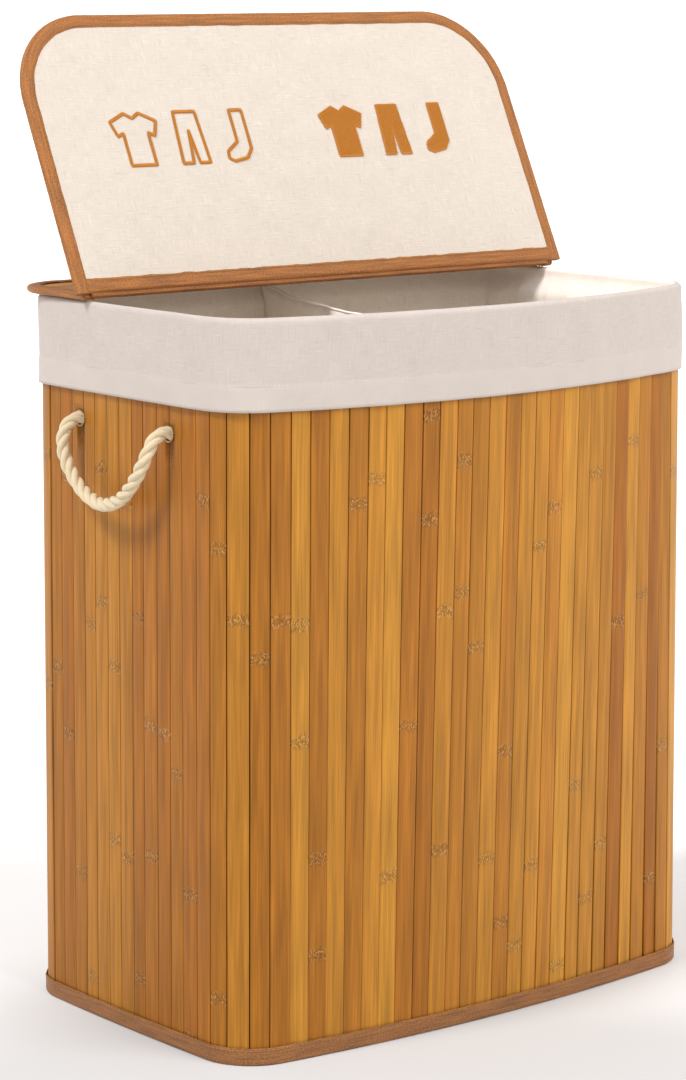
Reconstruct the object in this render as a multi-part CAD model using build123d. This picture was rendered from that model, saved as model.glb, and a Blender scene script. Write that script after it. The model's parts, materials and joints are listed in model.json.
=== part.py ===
from build123d import *
import math
import os

# Two-compartment laundry hamper: a wall of upright bamboo slats glued to a backing cloth,
# bound with tape, stretched over two wire frames, with a sewn liner folded over its rim,
# two rope handles and a lid whose rear strip stays on the rim while its front flap opens.
#
# Millimetres. +Z is up, the origin is at the middle of the base on the floor, +X runs to the
# right along the front and the front faces -Y. The flap is modelled open, resting on its stop.

# Overall sizes
body_width = 524.0
body_depth = 314.0
body_height = 630.0
corner_radius = 47.0

# How far each wall bows out past the straight line between its corners
front_bow_foot = 14.0
front_bow_rim = 34.0
back_bow = 6.0
side_bow = 2.0

# Slat wall
slat_width = 17.2
slat_thickness = 1.6
slat_gap = 0.6
backing_thickness = 0.8
glue_gap = 1.0
rim_fold = 8.0
facet_room = 1.3

# Tapes bound over the edges of the slat wall
tape_thickness = 0.9
foot_tape_height = 15.0
rim_tape_height = 16.0
seam_tape_width = 30.0

# Base
base_cloth_thickness = 0.8
base_board_thickness = 3.0

# Wire frames and the cloth loops that hold them
wire_radius = 2.0
loop_thickness = 1.0
loop_length = 16.0
upper_wire_drop = 36.0

# Liner
cuff_depth = 78.0
cuff_thickness = 1.0
liner_thickness = 1.0
knot_room = 3.0
liner_shoulder = 25.0
divider_sag = 20.0
divider_drop = 5.5

# Rope handles
rope_diameter = 12.0
hole_spacing = 130.0
hole_drop = 25.0
knot_lip = 6.0
knot_thickness = 10.0
eyelet_width = 3.0
eyelet_thickness = 0.8

# Lid
flap_overhang = 19.0
flap_front_overhang = 21.0
flap_corner = 82.0
strip_overhang = 11.0
strip_back_overhang = 2.0
strip_depth = 121.0
strip_corner = 50.0
rim_gap = 1.0
lid_thickness = 6.0
lid_tape_width = 13.0
lid_tape_skin = 0.8
lid_backing_thickness = 1.5
lid_slat_thickness = 1.6
lining_thickness = 0.5
open_angle = 115.7
hinge_cloth_thickness = 0.8
square_corner = 5.0
anchor_width = 300.0
anchor_height = 110.0

# Sorting marks embroidered on the lining
mark_height = 50.0
mark_spacing = 58.0
mark_thickness = 0.5
mark_line = 4.0
lights_centre = -116.0
darks_centre = 120.0
marks_up = 140.0

# Clearances
soft_gap = 0.3
layer_gap = 0.1

# Sizes that follow from the ones above
slat_outer = glue_gap + slat_thickness
tape_inner = slat_outer + facet_room
tape_outer = tape_inner + tape_thickness
cuff_inner = tape_outer + soft_gap
cuff_outer = cuff_inner + cuff_thickness
mat_top = body_height - rim_fold
cuff_bottom = body_height - cuff_depth
wire_in = -(backing_thickness + loop_thickness + wire_radius + 2 * soft_gap)
liner_outer = -(backing_thickness + knot_thickness + knot_room)
liner_inner = liner_outer - liner_thickness
liner_rim_in = -(backing_thickness + layer_gap + tape_thickness + soft_gap)
floor_top = base_cloth_thickness + base_board_thickness
rope_radius = rope_diameter / 2
knot_radius = rope_radius + knot_lip
hole_radius = rope_radius + 0.5
hole_z = cuff_bottom - hole_drop
wall_x = body_width / 2 + side_bow + slat_outer
swing_x = wall_x + rope_radius + eyelet_thickness + 2 * soft_gap
upper_wire_height = body_height - upper_wire_drop
hinge_z = body_height + rim_gap + lid_thickness / 2
lid_edge_round = 0.45 * lid_thickness
# The tape's nose is deeper than its skin, so that half a skin is left behind the rounded edge.
lid_nose_depth = (lid_edge_round - lid_tape_skin / 2) ** 2 - (lid_edge_round - lid_tape_skin) ** 2
lid_nose = lid_edge_round - math.sqrt(lid_nose_depth)
hinge_reach = (lid_thickness + soft_gap) / math.cos(math.radians(open_angle / 2))
hinge_gap = hinge_reach - lid_thickness
strip_width = body_width + 2 * strip_overhang
strip_back = body_depth / 2 + back_bow + cuff_outer + strip_back_overhang
hinge_y = strip_back - strip_depth - hinge_gap / 2
flap_width = body_width + 2 * flap_overhang
flap_front = -(body_depth / 2 + front_bow_rim + cuff_outer + flap_front_overhang)


def rise(z):
    """Share of the way from the foot to the rim, which sets how far the front bows out."""
    return z / body_height


def bow(half_run, bulge):
    """Radius and half angle of a bowed side that runs smoothly into both corner arcs."""
    reach = (half_run ** 2 + bulge ** 2) / (2 * bulge)
    return corner_radius + reach, math.atan2(half_run, reach - bulge)


def outline_arcs(out, z):
    """Arcs (centre x, centre y, radius, start, sweep) round the wall from the middle of the back."""
    half_x = body_width / 2 - corner_radius
    half_y = body_depth / 2 - corner_radius
    front_bow = front_bow_foot + (front_bow_rim - front_bow_foot) * rise(z)
    back_r, back_a = bow(half_x, back_bow)
    front_r, front_a = bow(half_x, front_bow)
    side_r, side_a = bow(half_y, side_bow)
    back_y = body_depth / 2 + back_bow - back_r
    front_y = front_r - body_depth / 2 - front_bow
    side_x = body_width / 2 + side_bow - side_r
    turn = math.pi / 2
    arcs = [
        (0.0, back_y, back_r, turn, back_a),
        (-half_x, half_y, corner_radius, turn + back_a, turn - back_a - side_a),
        (-side_x, 0.0, side_r, 2 * turn - side_a, 2 * side_a),
        (-half_x, -half_y, corner_radius, 2 * turn + side_a, turn - side_a - front_a),
        (0.0, front_y, front_r, 3 * turn - front_a, 2 * front_a),
        (half_x, -half_y, corner_radius, 3 * turn + front_a, turn - front_a - side_a),
        (side_x, 0.0, side_r, -side_a, 2 * side_a),
        (half_x, half_y, corner_radius, side_a, turn - side_a - back_a),
        (0.0, back_y, back_r, turn - back_a, back_a),
    ]
    return [(x, y, r + out, start, sweep) for x, y, r, start, sweep in arcs]


def outline(out, z):
    """Closed wire of the wall's outline at height z, grown by out."""
    edges = []
    for x, y, r, start, sweep in outline_arcs(out, z):
        angles = (start, start + sweep / 2, start + sweep)
        points = [(x + r * math.cos(a), y + r * math.sin(a), z) for a in angles]
        edges.append(Edge.make_three_point_arc(*points))
    return Wire(edges)


def on_outline(out, z, share):
    """Point and outward direction at a share of the way round the outline."""
    arcs = outline_arcs(out, z)
    left = share * sum(r * sweep for _, _, r, _, sweep in arcs)
    for x, y, r, start, sweep in arcs:
        if left <= r * sweep:
            break
        left -= r * sweep
    a = start + left / r
    return Vector(x + r * math.cos(a), y + r * math.sin(a), z), Vector(math.cos(a), math.sin(a), 0)


def filled(out, z_low, z_high):
    """Solid plug inside the outline between two heights."""
    return Solid.make_loft([outline(out, z_low), outline(out, z_high)], True)


def ring(outer, inner, z_low, z_high):
    """Wall between two outlines, following the lean of the front."""
    return filled(outer, z_low, z_high) - filled(inner, z_low, z_high)


def slat_count():
    """Whole number of slats that goes round the foot."""
    length = sum(r * sweep for _, _, r, _, sweep in outline_arcs(glue_gap, 0.0))
    return round(length / (slat_width + slat_gap))


def one_slat(share, z_low, z_high):
    """One straight slat standing on the outline, with its outward direction."""
    low, facing_low = on_outline(glue_gap, z_low, share)
    high, facing_high = on_outline(glue_gap, z_high, share)
    facing = (facing_low + facing_high).normalized()
    up = (high - low).normalized()
    along = facing.cross(up).normalized()
    place = Plane(origin=low, x_dir=along, z_dir=up)
    outward = math.copysign(slat_thickness / 2, place.y_dir.dot(facing))
    length = (high - low).length
    return place * Pos(0, outward, length / 2) * Box(slat_width, slat_thickness, length), facing


def rope_holes(side):
    """Two round holes through the side wall, from the liner outwards."""
    holes = []
    for y in (-hole_spacing / 2, hole_spacing / 2):
        bore = Rot(0, 90, 0) * Cylinder(hole_radius, 40)
        holes.append(Pos(side * wall_x, y, hole_z) * bore)
    return holes


def make_slats():
    """All upright slats, sorted by the wall that each one faces most."""
    walls = {"front": [], "back": [], "left": [], "right": []}
    count = slat_count()
    foot = tape_thickness + layer_gap
    for number in range(count):
        slat, facing = one_slat((number + 0.5) / count, foot, mat_top)
        if abs(facing.X) > abs(facing.Y):
            wall = "right" if facing.X > 0 else "left"
            side = 1 if facing.X > 0 else -1
            for hole in rope_holes(side):
                slat = slat - hole
        else:
            wall = "back" if facing.Y > 0 else "front"
        walls[wall] += slat.solids()
    return {wall + "_slats": solids for wall, solids in walls.items()}


def make_backing():
    """Cloth tube behind the slats, open at the seam in the middle of the back."""
    cloth = ring(0.0, -backing_thickness, tape_thickness + layer_gap, mat_top)
    for side in (-1, 1):
        for hole in rope_holes(side):
            cloth = cloth - hole
    slit = Pos(0, body_depth / 2, body_height / 2) * Box(0.8, 60, 2 * body_height)
    return cloth - slit


def make_seam_tape():
    """Tape inside the back wall that joins the two edges of the backing cloth."""
    inner = -backing_thickness - layer_gap
    low = foot_tape_height + soft_gap
    wall = ring(inner, inner - tape_thickness, low, mat_top - rim_tape_height - soft_gap)
    window = Pos(0, body_depth / 2, body_height / 2) * Box(seam_tape_width, 60, 2 * body_height)
    return wall & window


def make_foot_tape():
    """Tape folded under the slat wall, a channel that the wall stands in."""
    inner = -backing_thickness - layer_gap
    body = ring(tape_outer, inner - tape_thickness, 0.0, foot_tape_height)
    channel = ring(tape_inner, inner, tape_thickness, foot_tape_height)
    return body - channel


def make_rim_tape():
    """Tape folded over the top edge of the slat wall."""
    inner = -backing_thickness - layer_gap
    low = mat_top - rim_tape_height
    high = mat_top + layer_gap + tape_thickness
    body = ring(tape_outer, inner - tape_thickness, low, high)
    channel = ring(tape_inner, inner, low, mat_top + layer_gap)
    return body - channel


def base_edge():
    """Offset of the base panels, just inside the foot tape."""
    return -(backing_thickness + layer_gap + tape_thickness + soft_gap)


def make_base():
    """Fibreboard panel and the cloth under it."""
    edge = base_edge()
    return {
        "base_cloth": filled(edge, 0.0, base_cloth_thickness),
        "base_board": filled(edge, base_cloth_thickness, floor_top),
    }


def make_wire(z):
    """Rod bent to the inside of the wall at height z."""
    path = outline(wire_in, z)
    start, _ = on_outline(wire_in, z, 0.0)
    section = Plane(origin=start, z_dir=(-1, 0, 0)) * Circle(wire_radius)
    return sweep(section, path)


def make_loops(z, shares):
    """Short cloth sleeves round the wire, sewn to the wall behind it."""
    loops = []
    inner = wire_radius + soft_gap / 2
    for share in shares:
        point, facing = on_outline(wire_in, z, share)
        along = facing.cross(Vector(0, 0, 1))
        sleeve = Cylinder(inner + loop_thickness, loop_length) - Cylinder(inner, loop_length)
        loops += (Plane(origin=point, z_dir=along) * sleeve).solids()
    return loops


def liner_plug(inset_low, inset_high, z_low):
    """Inside of a liner surface: straight up, then out over a shoulder to the rim."""
    shoulder = body_height - cuff_thickness - liner_shoulder
    top = body_height - cuff_thickness
    sections = [outline(inset_low, z_low), outline(inset_low, shoulder), outline(inset_high, top)]
    return Solid.make_loft(sections, True)


def make_liner():
    """Sewn bag: wall, floor, middle divider, and the cuff folded over the rim."""
    rim_in = liner_rim_in
    top = body_height - cuff_thickness
    wall = liner_plug(liner_outer, rim_in, floor_top) - liner_plug(liner_inner, rim_in - liner_thickness, floor_top)
    cuff = ring(cuff_outer, cuff_inner, cuff_bottom, top)
    cap = ring(cuff_outer, rim_in - liner_thickness, top, body_height)
    floor = filled(liner_inner - soft_gap, floor_top, floor_top + liner_thickness)
    return {
        "liner_wall": wall,
        "liner_cuff": cuff + cap,
        "liner_floor": floor,
        "liner_divider": make_divider(),
    }


def liner_reach(z):
    """Front and back places of the liner's inner face in the middle plane, a soft gap inside it."""
    shoulder = body_height - cuff_thickness - liner_shoulder
    share = max(0.0, (z - shoulder) / liner_shoulder)
    out = liner_inner + (liner_rim_in - liner_thickness - liner_inner) * share - soft_gap
    front_bow = front_bow_foot + (front_bow_rim - front_bow_foot) * rise(z)
    return -(body_depth / 2 + front_bow + out), body_depth / 2 + back_bow + out


def make_divider():
    """Cloth panel between the compartments, whose top edge sags between its two ends."""
    low = floor_top + liner_thickness + soft_gap
    bend = body_height - cuff_thickness - liner_shoulder
    high = body_height - divider_drop
    fronts, backs = zip(*[liner_reach(z) for z in (low, bend, high)])
    middle = ((fronts[2] + backs[2]) / 2, high - divider_sag)
    edges = [
        Edge.make_line((0, fronts[0], low), (0, backs[0], low)),
        Edge.make_line((0, backs[0], low), (0, backs[1], bend)),
        Edge.make_line((0, backs[1], bend), (0, backs[2], high)),
        Edge.make_three_point_arc((0, backs[2], high), (0, *middle), (0, fronts[2], high)),
        Edge.make_line((0, fronts[2], high), (0, fronts[1], bend)),
        Edge.make_line((0, fronts[1], bend), (0, fronts[0], low)),
    ]
    panel = Face(Wire(edges))
    return Pos(-liner_thickness / 2, 0, 0) * extrude(panel, amount=liner_thickness, dir=(1, 0, 0))


def hole_place(side, y):
    """Centre of a rope hole on the outer face of the slats, looking outwards."""
    return Plane(origin=(side * wall_x, y, hole_z), x_dir=(0, 1, 0), z_dir=(side, 0, 0))


def make_eyelets(side):
    """Stitched ring round each rope hole, on the outer face of the wall."""
    rings = []
    for y in (-hole_spacing / 2, hole_spacing / 2):
        disc = Cylinder(hole_radius + eyelet_width, eyelet_thickness)
        disc = disc - Cylinder(hole_radius, eyelet_thickness)
        lifted = Pos(0, 0, soft_gap + eyelet_thickness / 2) * disc
        rings += (hole_place(side, y) * lifted).solids()
    return rings


def make_knots(side):
    """Knot inside the wall at each end of the rope, with the rope end that fills the hole."""
    knots = []
    wall_in = slat_outer + backing_thickness + side_bow
    proud = eyelet_thickness + soft_gap
    shank_length = proud + wall_in + knot_thickness / 2
    for y in (-hole_spacing / 2, hole_spacing / 2):
        shank = Pos(0, 0, proud - shank_length / 2) * Cylinder(rope_radius, shank_length)
        bulb = Cylinder(knot_radius, knot_thickness)
        bulb = fillet(bulb.edges().filter_by(GeomType.CIRCLE), 0.45 * knot_thickness)
        knot = shank + Pos(0, 0, -wall_in - knot_thickness / 2) * bulb
        knots += (hole_place(side, y) * knot).solids()
    return knots


# Route of a rope loop: distance out from the swing axis, place along the wall, height from the hole
rope_route = [
    (0.0, 65.0, 0.0),
    (6.0, 67.0, -24.0),
    (9.0, 57.0, -54.0),
    (9.0, 31.0, -76.0),
    (13.0, -4.0, -82.0),
    (17.0, -37.0, -71.0),
    (17.0, -59.0, -46.0),
    (11.0, -67.0, -19.0),
    (0.0, -65.0, 0.0),
]


def rope_points(side):
    """Route of one rope loop in the part's frame, its ends moved to the hole spacing."""
    stretch = hole_spacing / (rope_route[0][1] - rope_route[-1][1])
    return [Vector(side * (swing_x + out), y * stretch, hole_z + up) for out, y, up in rope_route]


def bend_radii(points):
    """Radius of the arc at each inner point, from its shorter run and its turn."""
    radii = []
    for before, here, after in zip(points, points[1:], points[2:]):
        half_turn = math.radians((here - before).get_angle(after - here)) / 2
        radii.append(0.45 * min((here - before).length, (after - here).length) / math.tan(half_turn))
    return radii


def make_rope(side):
    """Rope loop that hangs outside the wall between its two holes, with rounded ends."""
    points = rope_points(side)
    radii = bend_radii(points)
    path = FilletPolyline(*points, radius=radii)
    start = Plane(origin=points[0], z_dir=points[1] - points[0])
    tube = sweep(start * Circle(rope_radius), path.wire())
    print("rope radii", [round(r, 1) for r in radii], "length", round(path.length, 1))
    section = math.pi * rope_radius ** 2
    print("rope volume over section times length", round(tube.volume / (section * path.length), 4))
    for end in (points[0], points[-1]):
        tube = tube + Pos(*end) * Sphere(rope_radius)
    return tube


def lid_plate(width, y_rear, y_front, rear_corner, front_corner, inset, z_low, z_high):
    """Flat plate of the lid with rounded corners, drawn in by inset on all sides."""
    half = width / 2 - inset
    rear = y_rear - inset
    front = y_front + inset
    edges = []
    corners = [
        (half, rear, max(rear_corner - inset, 1.0), 0),
        (-half, rear, max(rear_corner - inset, 1.0), 90),
        (-half, front, max(front_corner - inset, 1.0), 180),
        (half, front, max(front_corner - inset, 1.0), 270),
    ]
    points = []
    for x, y, r, start in corners:
        centre = (x - math.copysign(r, x), y - r if start < 180 else y + r)
        angles = [math.radians(start + turn) for turn in (0, 45, 90)]
        points.append([(centre[0] + r * math.cos(a), centre[1] + r * math.sin(a), z_low) for a in angles])
    for number, arc in enumerate(points):
        edges.append(Edge.make_three_point_arc(*arc))
        edges.append(Edge.make_line(arc[2], points[(number + 1) % 4][0]))
    return extrude(Face(Wire(edges)), amount=z_high - z_low, dir=(0, 0, 1))


def lid_panel(width, y_rear, y_front, rear_corner, front_corner):
    """Slats, backing, lining and edge tape of one lid panel lying flat at the hinge's height."""
    shape = (width, y_rear, y_front, rear_corner, front_corner)
    mid = hinge_z
    half = lid_thickness / 2
    inset = lid_nose + soft_gap
    backing = lid_plate(*shape, inset, mid - lid_backing_thickness, mid)
    lining_top = mid - lid_backing_thickness - layer_gap
    lining = lid_plate(*shape, inset, lining_top - lining_thickness, lining_top)
    board = lid_plate(*shape, inset, mid + layer_gap, mid + layer_gap + lid_slat_thickness)
    tape = lid_plate(*shape, 0.0, mid - half, mid + half)
    rim_edges = tape.edges().group_by(Axis.Z)
    tape = fillet(rim_edges[0] + rim_edges[-1], lid_edge_round)
    tape = tape - lid_plate(*shape, lid_tape_width, mid - lid_thickness, mid + lid_thickness)
    tape = tape - lid_plate(*shape, lid_nose, mid - half + lid_tape_skin, mid + half - lid_tape_skin)
    return {"slats": lid_slats(board, y_rear, y_front), "backing": backing, "lining": lining, "tape": tape}


def lid_slats(board, y_rear, y_front):
    """The board cut into slats that lie parallel to the hinge."""
    depth = y_rear - y_front
    count = round(depth / (slat_width + slat_gap))
    pitch = depth / count
    for number in range(1, count):
        cut = Pos(0, y_rear - number * pitch, hinge_z) * Box(2 * flap_width, slat_gap, 4 * lid_thickness)
        board = board - cut
    return board.solids()


def open_flap(shape):
    """A flap piece turned from closed to open about the hinge line."""
    axis = Axis((0, hinge_y, hinge_z), (1, 0, 0))
    return shape.rotate(axis, -open_angle)


def hinge_leaf(direction):
    """Half of the hinge cloth, from just short of the fold line to the taped edge."""
    inner = 1.0
    outer = hinge_gap / 2 - layer_gap
    width = strip_width - 2 * lid_tape_width
    leaf = Box(width, outer - inner, hinge_cloth_thickness)
    return Pos(0, hinge_y + direction * (inner + outer) / 2, hinge_z) * leaf


def make_anchor():
    """Tape that holds the rear strip of the lid to the back wall, over the cuff."""
    low = mat_top - anchor_height
    drop = ring(cuff_outer + soft_gap + tape_thickness, cuff_outer + soft_gap, low, body_height)
    foot = ring(cuff_outer + soft_gap + tape_thickness, tape_inner, low, cuff_bottom - soft_gap)
    window = Pos(0, body_depth / 2, body_height / 2) * Box(anchor_width, 80, 2 * body_height)
    return (drop + foot) & window


def garment_outlines():
    """Outlines of a shirt, trousers and a sock, in shares of the mark's height."""
    shirt = [
        (-0.16, 0.5), (-0.5, 0.34), (-0.4, 0.06), (-0.27, 0.12), (-0.27, -0.5),
        (0.27, -0.5), (0.27, 0.12), (0.4, 0.06), (0.5, 0.34), (0.16, 0.5), (0.0, 0.4),
    ]
    trousers = [
        (-0.24, 0.5), (-0.3, -0.5), (-0.07, -0.5), (0.0, 0.14), (0.07, -0.5), (0.3, -0.5), (0.24, 0.5),
    ]
    sock = [
        (-0.14, 0.5), (-0.14, -0.12), (-0.4, -0.3), (-0.42, -0.44), (-0.3, -0.5),
        (0.0, -0.44), (0.14, -0.26), (0.14, 0.5),
    ]
    return [shirt, trousers, sock]


def make_marks(centre, solid_fill):
    """A row of three garment marks on the lining of the flap, filled or only outlined."""
    face_z = hinge_z - lid_backing_thickness - layer_gap - lining_thickness - layer_gap
    marks = []
    for number, points in enumerate(garment_outlines()):
        sized = [(x * mark_height, y * mark_height) for x, y in points]
        shape = Face(Wire.make_polygon([(x, y, 0) for x, y in sized], close=True))
        body = extrude(shape, amount=mark_thickness, dir=(0, 0, 1))
        if not solid_fill:
            inner = offset(shape, -mark_line)
            body = body - extrude(inner, amount=mark_thickness, dir=(0, 0, 1))
        x = centre + (number - 1) * mark_spacing
        y = hinge_y - hinge_gap / 2 - marks_up
        flat = Pos(x, y, face_z - mark_thickness) * (Rot(0, 0, 180) * body)
        marks += open_flap(mirror_across(flat, x)).solids()
    return marks


def mirror_across(shape, x):
    """Mirror about the upright plane at x, so that a mark on an underside reads the right way."""
    return shape.mirror(Plane(origin=(x, 0, 0), z_dir=(1, 0, 0)))


def make_lid():
    """Rear strip that stays on the rim, and the flap that is hinged to it."""
    strip = lid_panel(strip_width, strip_back, hinge_y + hinge_gap / 2, strip_corner, square_corner)
    flap_rear = hinge_y - hinge_gap / 2
    flap = lid_panel(flap_width, flap_rear, flap_front, square_corner, flap_corner)
    lid = {
        "lid_strip_slats": strip["slats"],
        "lid_strip_backing": strip["backing"],
        "lid_strip_lining": strip["lining"],
        "lid_strip_tape": strip["tape"],
        "lid_strip_hinge_leaf": hinge_leaf(1),
        "lid_anchor_tape": make_anchor(),
        "lid_flap_slats": [open_flap(slat) for slat in flap["slats"]],
        "lid_flap_backing": open_flap(flap["backing"]),
        "lid_flap_lining": open_flap(flap["lining"]),
        "lid_flap_tape": open_flap(flap["tape"]),
        "lid_flap_hinge_leaf": open_flap(hinge_leaf(-1)),
        "lights_mark": make_marks(lights_centre, False),
        "darks_mark": make_marks(darks_centre, True),
    }
    return lid


def make_handles():
    """Eyelets, inner knots and hanging rope loop on each side wall."""
    nodes = {}
    for name, side in (("left", -1), ("right", 1)):
        nodes[name + "_handle_eyelets"] = make_eyelets(side)
        nodes[name + "_handle_knots"] = make_knots(side)
        nodes[name + "_handle_rope"] = make_rope(side)
    return nodes


def make_frames():
    """Lower and upper wire frames with the loops that hold them."""
    low = foot_tape_height + wire_radius + loop_thickness + 2 * soft_gap
    long_sides = [0.06, 0.44 - 0.06, 0.5, 0.62, 0.94]
    short_sides = [0.235, 0.765]
    shares = sorted(long_sides + short_sides)
    return {
        "lower_frame_wire": make_wire(low),
        "upper_frame_wire": make_wire(upper_wire_height),
        "lower_frame_loops": make_loops(low, shares),
        "upper_frame_loops": make_loops(upper_wire_height, shares),
    }


def build_all():
    """Every node of the hamper by name."""
    nodes = make_slats()
    nodes["wall_backing"] = make_backing()
    nodes["back_seam_tape"] = make_seam_tape()
    nodes["foot_tape"] = make_foot_tape()
    nodes["rim_tape"] = make_rim_tape()
    nodes.update(make_base())
    nodes.update(make_frames())
    nodes.update(make_liner())
    nodes.update(make_handles())
    nodes.update(make_lid())
    return nodes


os.makedirs("parts", exist_ok=True)
for node, shape in build_all().items():
    solids = shape if isinstance(shape, list) else shape.solids()
    export_step(solids[0] if len(solids) == 1 else Compound(solids), f"parts/{node}.step")
    print(node, len(solids), "solids")
print("lid hinge line at y", round(hinge_y, 3), "z", round(hinge_z, 3))
print("rope swing lines at x", round(swing_x, 3), "z", round(hole_z, 3))
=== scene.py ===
"""Bamboo laundry hamper: slat wall, sewn liner, rope handles and a lid with a hinged flap.

Every length is in metres and every piece stands in the packed model's own frame: +Z up,
the origin in the middle of the base on the floor, the front facing -Y.
"""
import json
import math

import bpy
import numpy as np
from bpy.props import FloatProperty, FloatVectorProperty, PointerProperty
from mathutils import Matrix, Vector


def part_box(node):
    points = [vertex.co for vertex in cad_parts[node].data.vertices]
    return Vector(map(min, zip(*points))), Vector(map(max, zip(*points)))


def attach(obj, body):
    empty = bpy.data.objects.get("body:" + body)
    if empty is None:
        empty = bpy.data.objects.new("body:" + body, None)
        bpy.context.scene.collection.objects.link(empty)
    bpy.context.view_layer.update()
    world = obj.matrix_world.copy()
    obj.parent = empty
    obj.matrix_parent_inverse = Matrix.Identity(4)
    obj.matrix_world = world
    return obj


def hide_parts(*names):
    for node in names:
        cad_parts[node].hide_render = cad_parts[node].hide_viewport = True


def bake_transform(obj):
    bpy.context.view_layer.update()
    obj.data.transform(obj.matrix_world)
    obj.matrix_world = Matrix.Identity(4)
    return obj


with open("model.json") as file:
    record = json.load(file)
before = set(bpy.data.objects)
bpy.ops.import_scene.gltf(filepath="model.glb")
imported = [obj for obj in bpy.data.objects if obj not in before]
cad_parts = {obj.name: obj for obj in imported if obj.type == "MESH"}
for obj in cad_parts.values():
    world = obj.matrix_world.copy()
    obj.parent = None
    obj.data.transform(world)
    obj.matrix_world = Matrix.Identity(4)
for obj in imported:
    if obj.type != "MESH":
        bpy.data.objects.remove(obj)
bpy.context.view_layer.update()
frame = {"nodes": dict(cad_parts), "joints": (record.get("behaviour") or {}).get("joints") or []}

bl_info = {
    "name": "Bamboo Laundry Hamper",
    "version": (1, 0, 0),
    "blender": (4, 5, 0),
    "location": "3D View > Sidebar > Hamper",
    "description": "Builds a lidded slat hamper with a cloth liner and rope handles",
    "category": "Object",
}

MM = 0.001
JOINTS = {joint["name"]: joint for joint in frame["joints"]}
HINGE = Vector(JOINTS["lid_hinge"]["pos_m"])
SWING = Vector(JOINTS["right_handle_swing"]["pos_m"])
FULL_TURN = 2 * math.pi


# ---------------------------------------------------------------- settings

def linear(text):
    """Linear colour of an sRGB hex value."""
    parts = [int(text[i:i + 2], 16) / 255 for i in (1, 3, 5)]
    return tuple(c / 12.92 if c <= 0.04045 else ((c + 0.055) / 1.055) ** 2.4 for c in parts)


def length(name, description, default):
    """Length property in metres."""
    return FloatProperty(name=name, description=description, default=default, unit="LENGTH", min=0.0)


def colour(name, description, text):
    """Colour property whose default is an sRGB hex value."""
    return FloatVectorProperty(name=name, description=description, default=linear(text), subtype="COLOR", size=3)


class HamperSizes(bpy.types.PropertyGroup):
    """Sizes of the hamper's soft and slatted pieces."""

    body_width: length("Body width", "Side to side, outside of the backing cloth", 0.524)
    body_depth: length("Body depth", "Front to back between the corner lines", 0.314)
    body_height: length("Body height", "Floor to the top of the folded cuff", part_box("liner_cuff")[1].z)
    corner_radius: length("Corner radius", "Plan radius of the four upright corners", 0.047)
    front_bow_foot: length("Front bow at the foot", "How far the front bows out at the floor", 0.014)
    front_bow_rim: length("Front bow at the rim", "How far the front bows out at the rim", 0.034)
    back_bow: length("Back bow", "How far the back bows out", 0.006)
    side_bow: length("Side bow", "How far each side bows out", 0.002)
    slat_width: length("Slat width", "Width of one bamboo slat", 0.0172)
    slat_gap: length("Slat gap", "Open line between two slats", 0.0006)
    slat_thickness: length("Slat thickness", "Thickness of one bamboo slat", 0.0016)
    glue_gap: length("Glue line", "From the backing cloth to the back of the slats", 0.001)
    tape_width: length("Lid tape width", "Width of the tape on each face of the lid", 0.013)
    tape_thickness: length("Tape thickness", "Thickness of the woven tape", 0.0008)
    lid_thickness: length("Lid thickness", "Thickness of the lid over its tape", 0.006)
    cuff_depth: length("Cuff depth", "How far the liner folds down outside", 0.078)
    hem_height: length("Hem height", "Height of the turned hem of the cuff", 0.022)
    rope_diameter: length("Rope diameter", "Diameter of the laid rope", 0.012)
    rope_lay: length("Rope lay", "Length of one turn of a strand", 0.037)
    slat_jitter: length("Slat jitter", "How far the line between two slats strays", 0.0009)
    mark_height: length("Mark height", "Height of an embroidered garment", 0.050)


class HamperColours(bpy.types.PropertyGroup):
    """Base colours of the hamper's materials."""

    bamboo_light: colour("Light bamboo", "Palest slats", "#C68B30")
    bamboo_dark: colour("Dark bamboo", "Deepest slats", "#965911")
    bamboo_red: colour("Red bamboo", "Warm streaks in the slats", "#A15B14")
    specks: colour("Pale specks", "Pale specks in the rings of the slats", "#DDB77C")
    lining: colour("Lid lining", "Linen under the lid", "#CBBFB2")
    liner: colour("Liner outside", "Cotton and linen of the liner's cuff", "#BFB3AB")
    liner_hem: colour("Liner hem", "Turned hem of the cuff", "#C1B5AD")
    # The inside colour is paler than the cuff's to brighten the shaded inside of the hamper: painted light.
    liner_inside_painted_light: colour("Liner inside", "Paler inner face of the liner", "#F4EADF")
    tape: colour("Tape", "Woven edge tape", "#965B20")
    foot_tape: colour("Foot tape", "Tape at the foot of the wall", "#8A582A")
    rope: colour("Rope", "Twisted cotton", "#DECBA6")
    thread: colour("Thread", "Embroidery thread", "#D2841C")
    sewing_thread: colour("Sewing thread", "Thread in the edge tapes", "#B07A38")
    pale_thread: colour("Pale thread", "Thread in the liner", "#E7DFCE")
    backing: colour("Backing cloth", "Cloth glued behind the slats", "#3A2010")
    binding: colour("Binding", "Rim tape and anchor band", "#DDD4C3")
    steel: colour("Steel", "Wire frames", "#C3C3C4")
    fibreboard: colour("Fibreboard", "Base board and lid boards", "#8B6F55")
    # The near floor colour is the grey of a painted shadow pool round the hamper; the far floor colour is the floor's
    # own.
    floor: colour("Floor", "Studio floor in front of the hamper", "#C4C4C4")
    floor_far: colour("Far floor", "Studio floor further away", "#F2F2F2")


def sizes():
    """The scene's hamper sizes."""
    return bpy.context.scene.hamper_sizes


def colours():
    """The scene's hamper colours."""
    return bpy.context.scene.hamper_colours


# ---------------------------------------------------------------- mesh tools

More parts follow.
